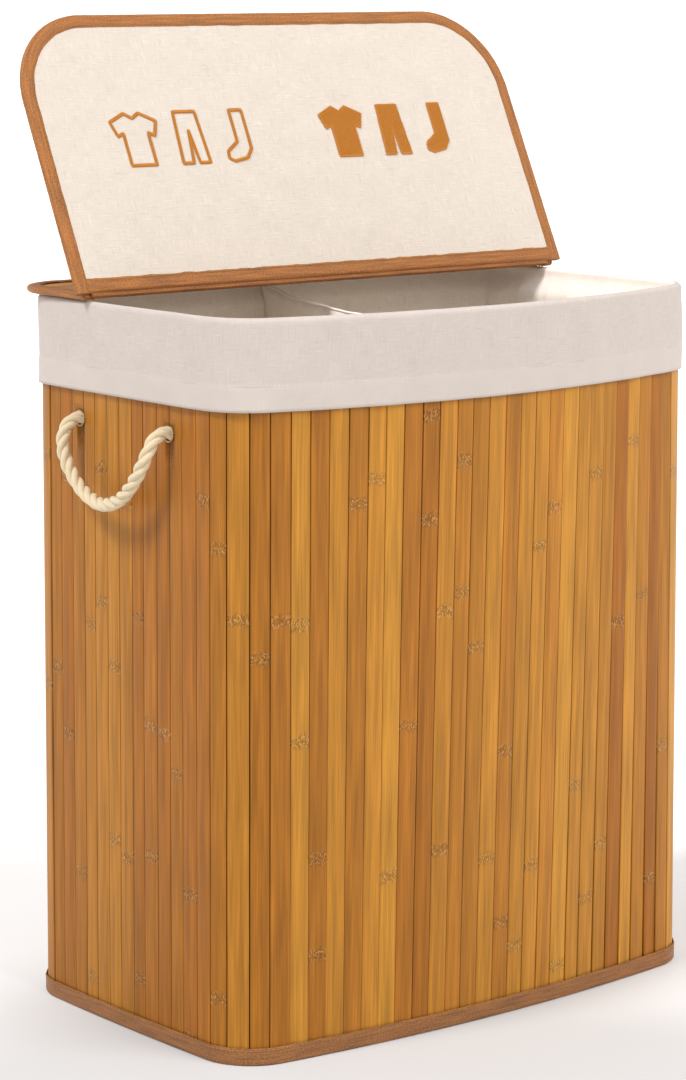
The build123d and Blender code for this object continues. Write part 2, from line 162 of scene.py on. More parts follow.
def build(name, points, material, body, uv=None, wrap=(False, False), caps=(False, False), values=None,
          flip=False):
    """Mesh object of one or more grids: points is (count, rows, columns, 3), joined by quads.

    Each grid cell is one quad between neighbouring rows and columns. wrap closes the rows or the
    columns on themselves, caps closes the first or the last row with one face, flip turns the
    faces over, and values holds one number per grid, stored on its vertices.
    """
    points = np.asarray(points, float)
    count, rows, columns = points.shape[:3]
    index = np.arange(count * rows * columns).reshape(count, rows, columns)
    grown = np.concatenate([index, index[:, :1]], 1) if wrap[0] else index
    grown = np.concatenate([grown, grown[:, :, :1]], 2) if wrap[1] else grown
    cell = (slice(0, -1), slice(1, None))
    corners = ((0, 0), (0, 1), (1, 1), (1, 0)) if flip else ((0, 0), (1, 0), (1, 1), (0, 1))
    loops = [np.stack([grown[:, cell[i], cell[j]] for i, j in corners], -1).reshape(-1)]
    totals = [np.full(len(loops[0]) // 4, 4)]
    if uv is None:
        uv = np.zeros(grown.shape + (2,))
    uv = np.broadcast_to(uv, grown.shape + (2,))
    spots = [np.stack([uv[:, cell[i], cell[j]] for i, j in corners], -2).reshape(-1, 2)]
    for row, reverse, wanted in ((0, flip, caps[0]), (-1, not flip, caps[1])):
        if wanted:
            order = np.arange(columns)[::-1] if reverse else np.arange(columns)
            loops.append(index[:, row][:, order].reshape(-1))
            spots.append(uv[:, row][:, order].reshape(-1, 2))
            totals.append(np.full(count, columns))
    loops, totals, spots = np.concatenate(loops), np.concatenate(totals), np.concatenate(spots)
    mesh = bpy.data.meshes.new(name)
    mesh.vertices.add(index.size)
    mesh.vertices.foreach_set("co", points.astype(np.float32).reshape(-1))
    mesh.loops.add(len(loops))
    mesh.loops.foreach_set("vertex_index", loops.astype(np.int32))
    mesh.polygons.add(len(totals))
    mesh.polygons.foreach_set("loop_start", (np.cumsum(totals) - totals).astype(np.int32))
    mesh.polygons.foreach_set("loop_total", totals.astype(np.int32))
    mesh.polygons.foreach_set("use_smooth", np.ones(len(totals), bool))
    mesh.update(calc_edges=True)
    layer = mesh.uv_layers.new(name="UVMap")
    layer.data.foreach_set("uv", spots.astype(np.float32).reshape(-1))
    for key, numbers in (values or {}).items():
        spread = np.repeat(np.asarray(numbers, np.float32), rows * columns)
        mesh.attributes.new(key, "FLOAT", "POINT").data.foreach_set("value", spread)
    mesh.set_sharp_from_angle(angle=math.radians(50))
    mesh.materials.append(material)
    piece = bpy.data.objects.new(name, mesh)
    bpy.context.scene.collection.objects.link(piece)
    if body:
        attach(piece, body)
    return piece


def thicken(piece, thickness, side=0.0):
    """Gives a sheet its thickness, with closed edges."""
    shell = piece.modifiers.new("Thickness", "SOLIDIFY")
    shell.thickness = thickness
    shell.offset = side
    shell.use_even_offset = False
    return piece


def corners(mesh):
    """Places of a mesh's vertices, one row each."""
    flat = np.empty(3 * len(mesh.vertices), np.float32)
    mesh.vertices.foreach_get("co", flat)
    return flat.reshape(-1, 3).astype(float)


def unit(vectors):
    """Vectors scaled to length one."""
    return vectors / np.maximum(np.linalg.norm(vectors, axis=-1, keepdims=True), 1e-12)


def join(*parts):
    """Coordinates joined into points, after spreading them over each other's rows and columns."""
    return np.stack(np.broadcast_arrays(*parts), -1)


def lengths(path):
    """Length from the start of a path to each of its points."""
    return np.append(0.0, np.cumsum(np.linalg.norm(np.diff(path, axis=0), axis=1)))


def along_path(path, run, at):
    """Points of a path at lengths at from its start, where run is the length at each of its points."""
    return np.stack([np.interp(at, run, line) for line in path.T], -1)


def ripple(u, v, wave, seed, count=7):
    """Smooth noise from -1 to 1: a sum of sine waves of random direction and phase, about wave long."""
    draw = np.random.default_rng(seed)
    turn, phase = draw.uniform(0, FULL_TURN, (2, count))
    scale = draw.uniform(0.6, 1.7, count) * FULL_TURN / wave
    total = sum(np.sin(k * (u * math.cos(a) + v * math.sin(a)) + p) for k, a, p in zip(scale, turn, phase))
    return total / math.sqrt(count)


def capsules(starts, ends, normals, radius, lift=0.3, rows=5, sides=6):
    """Short round-ended threads: each runs from start to end and bows off the cloth.

    A point is the line from start to end, raised along the normal by a half sine, plus a circle
    whose radius shrinks towards both ends as the root of one minus the sixth power.
    """
    t = np.linspace(0, 1, rows)
    taper = np.sqrt(1 - np.abs(2 * t - 1) ** 6 * 0.85)
    line = starts[:, None] + t[None, :, None] * (ends - starts)[:, None]
    line = line + normals[:, None] * (radius * (lift + 2 * lift * np.sin(math.pi * t)))[None, :, None]
    across = unit(np.cross(ends - starts, normals))
    turn = np.arange(sides) * FULL_TURN / sides
    ring = np.cos(turn)[:, None] * across[:, None] + np.sin(turn)[:, None] * normals[:, None]
    return line[:, :, None] + ring[:, None] * (radius * taper)[None, :, None, None]


def threads(name, starts, ends, normals, radius, material, body, **shape):
    """Piece made of many short threads."""
    points = capsules(starts, ends, normals, radius, **shape)
    rows, sides = points.shape[1:3]
    v = np.linspace(0, 1, rows)[:, None]
    u = np.linspace(0, 1, sides + 1)[None]
    uv = join(u * FULL_TURN * radius, v * np.linalg.norm(ends[0] - starts[0]))
    return build(name, points, material, body, uv, wrap=(False, True), caps=(True, True))


# ---------------------------------------------------------------- wall outline

def bow(half_run, bulge):
    """Radius and half angle of a bowed side that runs smoothly into both corner arcs."""
    reach = (half_run ** 2 + bulge ** 2) / (2 * bulge)
    return sizes().corner_radius + reach, np.arctan2(half_run, reach - bulge)


def on_wall(out, z, share):
    """Points and outward directions round the wall, at a share of its length from mid back.

    The outline is nine arcs end to end: a bowed side, a corner, and so on. The front's bow grows
    with height. A point lies on the arc that its share of the whole length falls on.
    """
    s = sizes()
    out, z, share = np.broadcast_arrays(*(np.asarray(x, float) for x in (out, z, share)))
    flat = np.ones_like(z)
    half_x = s.body_width / 2 - s.corner_radius
    half_y = s.body_depth / 2 - s.corner_radius
    front = s.front_bow_foot + (s.front_bow_rim - s.front_bow_foot) * z / s.body_height
    back_r, back_a = bow(half_x, s.back_bow * flat)
    front_r, front_a = bow(half_x, front)
    side_r, side_a = bow(half_y, s.side_bow * flat)
    back_y = s.body_depth / 2 + s.back_bow - back_r
    front_y = front_r - s.body_depth / 2 - front
    side_x = s.body_width / 2 + s.side_bow - side_r
    corner = s.corner_radius * flat
    turn = math.pi / 2
    arcs = np.array([
        (0 * flat, back_y, back_r, turn * flat, back_a),
        (-half_x * flat, half_y * flat, corner, turn + back_a, turn - back_a - side_a),
        (-side_x, 0 * flat, side_r, 2 * turn - side_a, 2 * side_a),
        (-half_x * flat, -half_y * flat, corner, 2 * turn + side_a, turn - side_a - front_a),
        (0 * flat, front_y, front_r, 3 * turn - front_a, 2 * front_a),
        (half_x * flat, -half_y * flat, corner, 3 * turn + front_a, turn - front_a - side_a),
        (side_x, 0 * flat, side_r, -side_a, 2 * side_a),
        (half_x * flat, half_y * flat, corner, side_a, turn - side_a - back_a),
        (0 * flat, back_y, back_r, turn - back_a, back_a),
    ])
    radius = arcs[:, 2] + out
    runs = radius * arcs[:, 4]
    ends = np.cumsum(runs, 0)
    goal = np.clip(share, 0, 1) * ends[-1]
    which = np.minimum((goal[None] > ends).sum(0), len(arcs) - 1)[None]
    x, y, start, r, before = (np.take_along_axis(a, which, 0)[0]
                              for a in (arcs[:, 0], arcs[:, 1], arcs[:, 3], radius, ends - runs))
    a = start + (goal - before) / r
    facing = np.stack([np.cos(a), np.sin(a), 0 * a], -1)
    return np.stack([x, y, z], -1) + facing * (flat * r)[..., None] * [1, 1, 0], facing


def wall_length(out, z):
    """Length once round the wall, by adding up short chords."""
    loop, _ = on_wall(out, z, np.linspace(0, 1, 400))
    return float(np.linalg.norm(np.diff(loop, axis=0), axis=1).sum())


# ---------------------------------------------------------------- materials

TIMES, PLUS, MINUS = ({"operation": name} for name in ("MULTIPLY", "ADD", "SUBTRACT"))
TIMES_PLUS = {"operation": "MULTIPLY_ADD"}
BLEND = {"take": 2, "data_type": "RGBA"}


def add(tree, kind, inputs=(), take=0, **settings):
    """Adds one shader node, sets its properties, links or fills its sockets, and returns one output.

    The inputs are a list in the order of the sockets, or a dictionary by socket.
    """
    made = tree.nodes.new("ShaderNode" + kind)
    for name, value in settings.items():
        setattr(made, name, value)
    for socket, value in (inputs if isinstance(inputs, dict) else dict(enumerate(inputs))).items():
        if isinstance(value, bpy.types.NodeSocket):
            tree.links.new(value, made.inputs[socket])
        elif made.inputs[socket].type == "RGBA":
            made.inputs[socket].default_value = (*value, 1.0)
        else:
            made.inputs[socket].default_value = value
    return made.outputs[take]


def start(name, **constants):
    """New material, its tree and its Principled shader, with constant values on the shader itself."""
    material = bpy.data.materials.new(name)
    material.use_nodes = True
    tree = material.node_tree
    shader = tree.nodes["Principled BSDF"]
    for socket, value in constants.items():
        shader.inputs[socket.replace("_", " ")].default_value = value
    return material, tree, shader


def dress(tree, shader, **outputs):
    """Links outputs to the shader's sockets."""
    for socket, output in outputs.items():
        tree.links.new(output, shader.inputs[socket.replace("_", " ")])


def bamboo():
    """Split bamboo, planed and lacquered.

    The eye sees fine straight fibre lines along each strip, a different honey or tan from strip to
    strip, and here and there a speckled ring where the cane had a joint.
    """
    c = colours()
    material, tree, shader = start("split_bamboo_lacquered", Roughness=0.5, Coat_Weight=0.04, Coat_Roughness=0.3,
                                   Specular_IOR_Level=0.22)
    uv = add(tree, "UVMap", uv_map="UVMap")
    tone, warm, *joints = (add(tree, "Attribute", attribute_name=name, take="Fac")
                           for name in ("tone", "warm", "ring_a", "ring_b"))
    seed = add(tree, "Math", [tone, 91.0], **TIMES)

    def streaks(across_mm, along_mm, detail, shift=0.0):
        """Noise stretched along the strip: lines across_mm wide and along_mm long, new on each strip."""
        slide = add(tree, "CombineXYZ", {2: add(tree, "Math", [seed, shift], **PLUS)})
        scale = (1 / (across_mm * MM), 1 / (along_mm * MM), 0.0)
        place = add(tree, "VectorMath", [uv, scale, slide], **TIMES_PLUS)
        return add(tree, "TexNoise", {"Vector": place, "Scale": 1.0, "Detail": detail})

    fibres = streaks(0.8, 60, 3.0)
    base = add(tree, "Mix", {0: tone, 6: c.bamboo_dark, 7: c.bamboo_light}, **BLEND)
    red = add(tree, "Math", [warm, 0.55], **TIMES)
    base = add(tree, "Mix", {0: red, 6: base, 7: c.bamboo_red}, **BLEND)
    shade = 1.0
    for noise, low, high, dim, bright in ((streaks(4.5, 160, 2.0, 7.0), 0.3, 0.7, 0.80, 1.14),
                                          (fibres, 0.28, 0.72, 0.78, 1.14),
                                          (streaks(9.0, 70, 1.0, 13.0), 0.3, 0.7, 0.92, 1.06)):
        part = add(tree, "MapRange", [noise, low, high, dim, bright])
        shade = add(tree, "Math", [shade, part], **TIMES)

    specks = streaks(1.0, 2.2, 2.0)
    waver = add(tree, "Math", [streaks(6.0, 30, 1.0, 21.0), 0.5], **MINUS)
    along = add(tree, "SeparateXYZ", [uv], take=1)
    along = add(tree, "Math", [waver, 9 * MM, along], **TIMES_PLUS)
    ring = 0.0
    for joint in joints:
        away = add(tree, "Math", [add(tree, "Math", [along, joint], **MINUS)], operation="ABSOLUTE")
        near = add(tree, "MapRange", [away, 3 * MM, 8 * MM, 1.0, 0.0], interpolation_type="SMOOTHSTEP")
        ring = add(tree, "Math", [ring, near], operation="MAXIMUM")
    dark = add(tree, "Math", [add(tree, "MapRange", [specks, 0.46, 0.56, 0.34, 0.0]), ring], **TIMES)
    pale = add(tree, "Math", [add(tree, "MapRange", [specks, 0.53, 0.62, 0.0, 0.30]), ring], **TIMES)
    shade = add(tree, "Math", [shade, add(tree, "Math", [1.0, dark], **MINUS)], **TIMES)
    base = add(tree, "VectorMath", {0: base, "Scale": shade}, operation="SCALE")
    base = add(tree, "Mix", {0: pale, 6: base, 7: c.specks}, **BLEND)

    height = add(tree, "Math", [fibres, 0.06 * MM], **TIMES)
    rough = add(tree, "Math", [specks, 0.25 * MM, 0.10 * MM], **TIMES_PLUS)
    height = add(tree, "Math", [rough, ring, height], **TIMES_PLUS)
    bump = add(tree, "Bump", {"Height": height, "Strength": 0.8, "Distance": 1.0})
    dress(tree, shader, Base_Color=base, Normal=bump)
    return material


def woven(name, tint, slub=0.11, thread_mm=1.3, deep=0.05, roughness=0.85, sheen=0.12, unwrapped=True):
    """Plain-woven cotton and linen cloth.

    The eye sees a fine square grain and short thicker threads, lighter and darker, lying both ways.
    The real threads are about half a millimetre apart, which is too fine to show, so thread_mm is
    coarser. slub is how much the thick threads lighten or darken the cloth, and deep their height in
    millimetres. A piece that isn't unwrapped takes its pattern round the wall and up it.
    """
    material, tree, shader = start(name, Roughness=roughness, Sheen_Weight=sheen, Sheen_Roughness=0.5)
    uv = add(tree, "UVMap", uv_map="UVMap")
    if not unwrapped:
        place = add(tree, "TexCoord", take="Object")
        around = add(tree, "VectorMath", [place, (1.0, 1.0, 0.0)], operation="DOT_PRODUCT", take="Value")
        uv = add(tree, "CombineXYZ", [around, add(tree, "SeparateXYZ", [place], take=2)])

    def slubs(u_mm, v_mm, shift):
        """Noise u_mm long one way and v_mm the other."""
        scale = (1 / (u_mm * MM), 1 / (v_mm * MM), 0.0)
        place = add(tree, "VectorMath", [uv, scale, (0.0, 0.0, shift)], **TIMES_PLUS)
        return add(tree, "TexNoise", {"Vector": place, "Scale": 1.0, "Detail": 2.0})

    turns = add(tree, "VectorMath", {0: uv, "Scale": FULL_TURN / (thread_mm * MM)}, operation="SCALE")
    waves = add(tree, "VectorMath", [turns], operation="SINE")
    grain = add(tree, "Math", add(tree, "SeparateXYZ", [waves], take=slice(2)), **TIMES)
    lying, standing, mottle = slubs(14, 1.3, 3.0), slubs(1.3, 14, 9.0), slubs(30, 30, 17.0)
    bright = add(tree, "Math", [lying, standing], operation="MAXIMUM")
    dull = add(tree, "Math", [lying, standing], operation="MINIMUM")
    light = add(tree, "MapRange", [bright, 0.58, 0.74, 0.0, slub])
    dim = add(tree, "MapRange", [dull, 0.42, 0.26, 0.0, slub])
    shade = add(tree, "Math", [grain, 0.035, 0.95], **TIMES_PLUS)
    shade = add(tree, "Math", [mottle, 0.10, shade], **TIMES_PLUS)
    shade = add(tree, "Math", [add(tree, "Math", [shade, light], **PLUS), dim], **MINUS)
    base = add(tree, "VectorMath", {0: tint, "Scale": shade}, operation="SCALE")
    height = add(tree, "Math", [grain, deep * MM], **TIMES)
    height = add(tree, "Math", [bright, 2 * deep * MM, height], **TIMES_PLUS)
    bump = add(tree, "Bump", {"Height": height, "Strength": 0.7, "Distance": 1.0})
    dress(tree, shader, Base_Color=base, Normal=bump)
    return material


def twill_tape(name, tint):
    """Twill tape: woven polyester with slanting ribs and a mix of light and dark yarns.

    The eye sees a speckled, slightly worn ribbon with a low satin sheen. The ribs are drawn twice
    as coarse as the real half millimetre, so that they show.
    """
    material, tree, shader = start(name, Roughness=0.6, Sheen_Weight=0.1, Sheen_Roughness=0.4)
    uv = add(tree, "UVMap", uv_map="UVMap")
    slope = (FULL_TURN / (2.4 * MM), FULL_TURN / (1.1 * MM), 0.0)
    slant = add(tree, "VectorMath", [uv, slope], operation="DOT_PRODUCT", take="Value")
    ribs = add(tree, "Math", [slant], operation="SINE")

    def yarns(across_mm, along_mm, detail):
        """Noise drawn out along the tape."""
        place = add(tree, "VectorMath", [uv, (1 / (across_mm * MM), 1 / (along_mm * MM), 0.0)], **TIMES)
        return add(tree, "TexNoise", {"Vector": place, "Scale": 1.0, "Detail": detail})

    specks = yarns(1.0, 1.6, 2.0)
    shade = add(tree, "MapRange", [yarns(2.2, 35, 3.0), 0.3, 0.7, 0.72, 1.28])
    shade = add(tree, "Math", [shade, add(tree, "MapRange", [specks, 0.3, 0.7, -0.42, 0.46])], **PLUS)
    shade = add(tree, "Math", [ribs, 0.10, shade], **TIMES_PLUS)
    base = add(tree, "VectorMath", {0: tint, "Scale": shade}, operation="SCALE")
    height = add(tree, "Math", [ribs, 0.06 * MM, add(tree, "Math", [specks, 0.3 * MM], **TIMES)], **TIMES_PLUS)
    bump = add(tree, "Bump", {"Height": height, "Strength": 0.8, "Distance": 1.0})
    dress(tree, shader, Base_Color=base, Normal=bump)
    return material


def spun_cotton(name, tint, yarn_mm, roughness=0.85, sheen=0.3):
    """Cotton yarn laid into strands.

    The eye sees soft slanting yarns on each strand, matt and a little fuzzy, darker in the grooves.
    """
    material, tree, shader = start(name, Roughness=roughness, Sheen_Weight=sheen, Sheen_Roughness=0.6)
    uv = add(tree, "UVMap", uv_map="UVMap")
    slope = (FULL_TURN / (yarn_mm * MM), FULL_TURN / (4 * yarn_mm * MM), 0.0)
    slant = add(tree, "VectorMath", [uv, slope], operation="DOT_PRODUCT", take="Value")
    yarns = add(tree, "Math", [slant], operation="SINE")
    place = add(tree, "VectorMath", [uv, (1 / (0.5 * MM), 1 / (5 * MM), 0.0)], **TIMES)
    fuzz = add(tree, "TexNoise", {"Vector": place, "Scale": 1.0, "Detail": 3.0})
    shade = add(tree, "Math", [fuzz, 0.25, 0.805], **TIMES_PLUS)
    # The yarn waves also darken the colour between the yarns: painted shade in the grooves.
    shade = add(tree, "Math", [yarns, 0.06, shade], **TIMES_PLUS)
    base = add(tree, "VectorMath", {0: tint, "Scale": shade}, operation="SCALE")
    height = add(tree, "Math", [yarns, 0.10 * MM, add(tree, "Math", [fuzz, 0.25 * MM], **TIMES)], **TIMES_PLUS)
    bump = add(tree, "Bump", {"Height": height, "Strength": 0.8, "Distance": 1.0})
    dress(tree, shader, Base_Color=base, Normal=bump)
    return material


def plain_solid(name, tint, roughness, metallic, grain_mm):
    """Drawn steel wire or pressed fibreboard: a fine even grain over one colour."""
    material, tree, shader = start(name, Metallic=metallic)
    place = add(tree, "TexCoord", take="Object")
    grain = add(tree, "TexNoise", {"Vector": place, "Scale": 1 / (grain_mm * MM), "Detail": 4.0})
    shade = add(tree, "MapRange", [grain, 0.3, 0.7, 0.75, 1.2])
    base = add(tree, "VectorMath", {0: tint, "Scale": shade}, operation="SCALE")
    rough = add(tree, "MapRange", {0: grain, 3: roughness - 0.1, 4: roughness + 0.1})
    bump = add(tree, "Bump", {"Height": add(tree, "Math", [grain, 0.1 * MM], **TIMES), "Distance": 1.0})
    dress(tree, shader, Base_Color=base, Roughness=rough, Normal=bump)
    return material


def floor_with_painted_shadow():
    """Matt painted studio floor.

    The eye sees a pale grey pool in front of the hamper that runs out to white, and soft shadows.
    """
    material, tree, shader = start("studio_floor_painted_shadow", Roughness=0.9)
    place = add(tree, "TexCoord", take="Object")
    # The pool round a point in front of the hamper takes the near grey: painted shadow.
    away = add(tree, "VectorMath", [place, (-0.35, -0.45, 0.0)], operation="DISTANCE", take="Value")
    share = add(tree, "MapRange", [away, 0.42, 0.74, 0.0, 1.0], interpolation_type="SMOOTHSTEP")
    cloud = add(tree, "TexNoise", {"Vector": place, "Scale": 3.0})
    share = add(tree, "Math", [cloud, 0.03, share], use_clamp=True, **TIMES_PLUS)
    c = colours()
    base = add(tree, "Mix", {0: share, 6: c.floor, 7: c.floor_far}, **BLEND)
    dress(tree, shader, Base_Color=base)
    return material


MATERIALS = {}


def make_materials():
    """Every finish of the hamper, and the finishes of the CAD pieces that are kept."""
    c = colours()
    MATERIALS.update({
        "bamboo": bamboo(),
        "lid_linen": woven("woven_linen_lining", c.lining, slub=0.13),
        "liner_cotton": woven("woven_cotton_linen_liner", c.liner),
        # The inside finish is the liner's cloth made paler: painted light for the shaded inside.
        "liner_inside_painted_light": woven("woven_cotton_linen_inside_painted_light", c.liner_inside_painted_light),
        "liner_hem": woven("woven_cotton_turned_hem", c.liner_hem, slub=0.04, deep=0.04),
        "backing_cloth": woven("woven_backing_cloth", c.backing, slub=0.10, roughness=0.9),
        "backing_strips": woven("woven_backing_cloth_strips", c.backing, slub=0.10, roughness=0.9, unwrapped=False),
        "anchor_cloth": woven("woven_cotton_band", c.binding, slub=0.05, thread_mm=1.0),
        "rim_binding": woven("woven_cotton_rim_tape", c.binding, slub=0.05, thread_mm=1.0, unwrapped=False),
        "brown_tape": twill_tape("woven_twill_lid_tape", c.tape),
        "foot_tape": twill_tape("woven_twill_foot_tape", c.foot_tape),
        "rope_cotton": spun_cotton("spun_cotton_rope", c.rope, yarn_mm=1.3),
        "sewing_thread": spun_cotton("spun_sewing_thread", c.sewing_thread, yarn_mm=0.4, roughness=0.6, sheen=0.0),
        "pale_thread": spun_cotton("spun_pale_thread", c.pale_thread, yarn_mm=0.4, roughness=0.7),
        "thread": spun_cotton("rayon_embroidery_thread", c.thread, yarn_mm=0.5, roughness=0.5, sheen=0.0),
        "steel_wire": plain_solid("drawn_steel_wire", c.steel, roughness=0.35, metallic=1.0, grain_mm=0.6),
        "hardboard": plain_solid("pressed_fibreboard", c.fibreboard, roughness=0.75, metallic=0.0, grain_mm=2.0),
        "floor": floor_with_painted_shadow(),
    })
    keep = {"steel_wire": ["lower_frame_wire", "upper_frame_wire"],
            "hardboard": ["base_board", "lid_strip_backing", "lid_flap_backing"],
            "backing_strips": ["back_seam_tape", "lower_frame_loops", "upper_frame_loops"],
            "rim_binding": ["rim_tape"]}
    for slot, nodes in keep.items():
        for node in nodes:
            frame["nodes"][node].data.materials.clear()
            frame["nodes"][node].data.materials.append(MATERIALS[slot])


def finish_piece(piece, slot, *nodes):
    """Names the piece's record slot and the CAD nodes that it stands for."""
    if nodes:
        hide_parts(*nodes)
    return piece


# ---------------------------------------------------------------- slats

def strip_section(width, thickness, crown):
    """Across and outward places of a strip's section: square back, eased front edges, low crown.

    Across runs over a width of one and is scaled to each strip's own width.
    """
    half, ease = width / 2, 0.35 * MM
    edge = 0.021
    across = np.array([-half, -half, -half + 0.3 * edge, -half + edge, -half / 2, 0,
                       half / 2, half - edge, half - 0.3 * edge, half, half])
    outward = np.array([0, thickness - ease, thickness - 0.35 * ease, thickness, thickness + 0.7 * crown,
                        thickness + crown, thickness + 0.7 * crown, thickness, thickness - 0.35 * ease,
                        thickness - ease, 0])
    return across, outward


def strips(name, low, high, facing, widths, body, seed, rows=16, place=None, pale=1.0):
    """Bamboo strips from low to high points, each with its own width, set and tint.

    A point is the straight line between the ends, plus the section carried along it and scaled by
    a width that wavers slightly, plus a small random set of the whole strip outwards.
    """
    s = sizes()
    draw = np.random.default_rng(seed)
    count = len(low)
    across, outward = strip_section(1.0, s.slat_thickness - 0.25 * MM, 0.12 * MM)
    t = np.linspace(0, 1, rows)
    span = np.linalg.norm(high - low, axis=1)
    up = unit(high - low)
    side = unit(np.cross(facing, up))
    out = unit(np.cross(up, side))
    gap = s.slat_gap * draw.uniform(0.4, 1.5, (count, 1, 1))
    wide = widths[:, None, None] - gap - 0.15 * MM * draw.random((count, rows, 1))
    proud = draw.uniform(0.0, 0.22, count)[:, None, None] * MM
    line = low[:, None] + t[None, :, None] * (high - low)[:, None]
    points = line[:, :, None] + side[:, None, None] * (across * wide)[..., None]
    points = points + out[:, None, None] * (outward[None, None] + proud)[..., None]
    if place:
        points = place(points)
    around = np.append(across, across[0]) * s.slat_width
    uv = join(around[None, None], t[None, :, None] * span[:, None, None])
    # A pale factor below one draws darker tones for every strip of a wall: painted shade.
    values = {
        "tone": pale * draw.beta(1.3, 1.3, count), "warm": draw.beta(1.0, 2.2, count),
        "ring_a": draw.uniform(0.02, 0.98, count) * span, "ring_b": draw.uniform(-0.8, 1.6, count) * span,
    }
    return build(name, points, MATERIALS["bamboo"], body, uv, (False, True), (True, True), values)


def drill(piece, centres, radius):
    """Cuts round holes along X through a piece."""
    turn = np.linspace(0, FULL_TURN, 33)[:-1]
    reach = np.array([-0.02, 0.02])
    ring = np.stack([0 * turn, radius * np.cos(turn), radius * np.sin(turn)], -1)
    points = np.array([[centre + ring + (x, 0, 0) for x in reach] for centre in centres])
    cutter = build("drill", points, MATERIALS["bamboo"], None, wrap=(False, True), caps=(True, True), flip=True)
    cut = piece.modifiers.new("Rope holes", "BOOLEAN")
    cut.operation = "DIFFERENCE"
    cut.object = cutter
    apply_modifiers(piece)
    bpy.data.objects.remove(cutter)


def apply_modifiers(piece):
    """Replaces a piece's mesh with its finished shape and drops the modifiers."""
    bpy.context.view_layer.update()
    graph = bpy.context.evaluated_depsgraph_get()
    mesh = bpy.data.meshes.new_from_object(piece.evaluated_get(graph), preserve_all_data_layers=True, depsgraph=graph)
    piece.modifiers.clear()
    piece.data = mesh


HOLE_HALF = 0.065
SLAT_COUNT = 90


def slat_wall(context):
    """Upright slats in four walls, standing on the outline that the CAD slats stand on."""
    s = sizes()
    low_z, high_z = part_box("front_slats")[0].z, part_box("back_slats")[1].z
    around = wall_length(s.glue_gap, 0.3)
    edges = np.arange(SLAT_COUNT + 1) / SLAT_COUNT
    even = (edges[1:] + edges[:-1]) / 2
    edges[1:-1] += np.random.default_rng(5).uniform(-1, 1, SLAT_COUNT - 1) * s.slat_jitter / around
    shares = (edges[1:] + edges[:-1]) / 2
    widths = np.diff(edges) * around
    low, facing_low = on_wall(s.glue_gap, low_z, shares)
    high, facing_high = on_wall(s.glue_gap, high_z, shares)
    facing = unit(facing_low + facing_high)
    aim = unit(on_wall(s.glue_gap, low_z, even)[1] + on_wall(s.glue_gap, high_z, even)[1])
    sideways = np.abs(aim[:, 0]) > np.abs(aim[:, 1])
    walls = {"front": ~sideways & (aim[:, 1] < 0), "back": ~sideways & (aim[:, 1] > 0),
             "left": sideways & (aim[:, 0] < 0), "right": sideways & (aim[:, 0] > 0)}
    for seed, (wall, own) in enumerate(walls.items()):
        # The left wall's strips draw darker tones (pale 0.55): painted shade on that wall.
        piece = strips(wall + "_bamboo_slats", low[own], high[own], facing[own], widths[own], "hamper",
                       11 + seed, pale=0.55 if wall == "left" else 1.0)
        finish_piece(piece, "bamboo", wall + "_slats")
        if wall in ("left", "right"):
            x = math.copysign(s.body_width / 2, aim[own][0, 0])
            drill(piece, [np.array([x, y, SWING.z]) for y in (-HOLE_HALF, HOLE_HALF)], s.rope_diameter / 2 - 0.1 * MM)


def carry_round(name, profile, material, body, rows=360, wrap=True, wander=None):
    """Surface whose profile, pairs of outward place and height, is carried once round the wall."""
    profile = np.asarray(profile, float)
    share = np.arange(rows) / rows
    out, z = profile[:, 0][None], profile[:, 1][None]
    around = share[:, None]
    extra = wander(around, out, z) if wander else 0.0
    points, facing = on_wall(0.0 * out + 0 * around, z + 0 * around, around + 0 * z)
    points = points + facing * (out + extra)[..., None]
    run = lengths(profile)
    if wrap:
        run = np.append(run, run[-1] + np.linalg.norm(profile[0] - profile[-1]))
    long = np.arange(rows + 1) / rows * wall_length(0.0, 0.3)
    uv = join(run[None], long[:, None])[None]
    return build(name, points[None], material, body, uv, wrap=(True, wrap))


def foot_tape(context):
    """Tape folded under the wall: a channel section carried round the foot, with a sewn edge."""
    s = sizes()
    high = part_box("foot_tape")[1]
    outer = high.x - s.body_width / 2 - s.side_bow
    inner = -2.7 * MM
    top, skin = high.z, 0.9 * MM
    profile = [
        (inner, top), (inner, 2 * MM), (inner + 0.6 * MM, 0.3 * MM), (inner + 2 * MM, 0),
        (outer - 1.6 * MM, 0), (outer - 0.6 * MM, 0.25 * MM), (outer - 0.15 * MM, 1.0 * MM), (outer, 2.4 * MM),
        (outer, top * 0.35), (outer, top * 0.7), (outer - 0.1 * MM, top - 0.8 * MM), (outer - 0.4 * MM, top),
        (outer - skin, top - 0.3 * MM), (outer - skin, top * 0.5), (outer - skin, skin), (inner + skin, skin),
        (inner + skin, top),
    ]

    def pucker(share, out, z):
        """Small waves that follow the slats, and a slow unevenness."""
        waves = 0.12 * MM * np.cos(FULL_TURN * SLAT_COUNT * share)
        slow = 0.15 * MM * ripple(share * 1.6, z, 0.06, 4)
        return (waves + slow) * np.clip(z / top, 0, 1) * (out > 0)

    piece = carry_round("foot_edge_tape", profile, MATERIALS["foot_tape"], "hamper", 720, True, pucker)
    finish_piece(piece, "brown_tape", "foot_tape")
    count = 420
    share = (np.arange(count) + 0.5) / count
    half = 0.34 / count
    ends = [on_wall(outer - 0.12 * MM, top - 2.2 * MM, share + side * half) for side in (-1, 1)]
    seam = threads("foot_tape_stitches", ends[0][0], ends[1][0], ends[0][1], 0.34 * MM,
                   MATERIALS["sewing_thread"], "hamper")
    finish_piece(seam, "brown_tape")


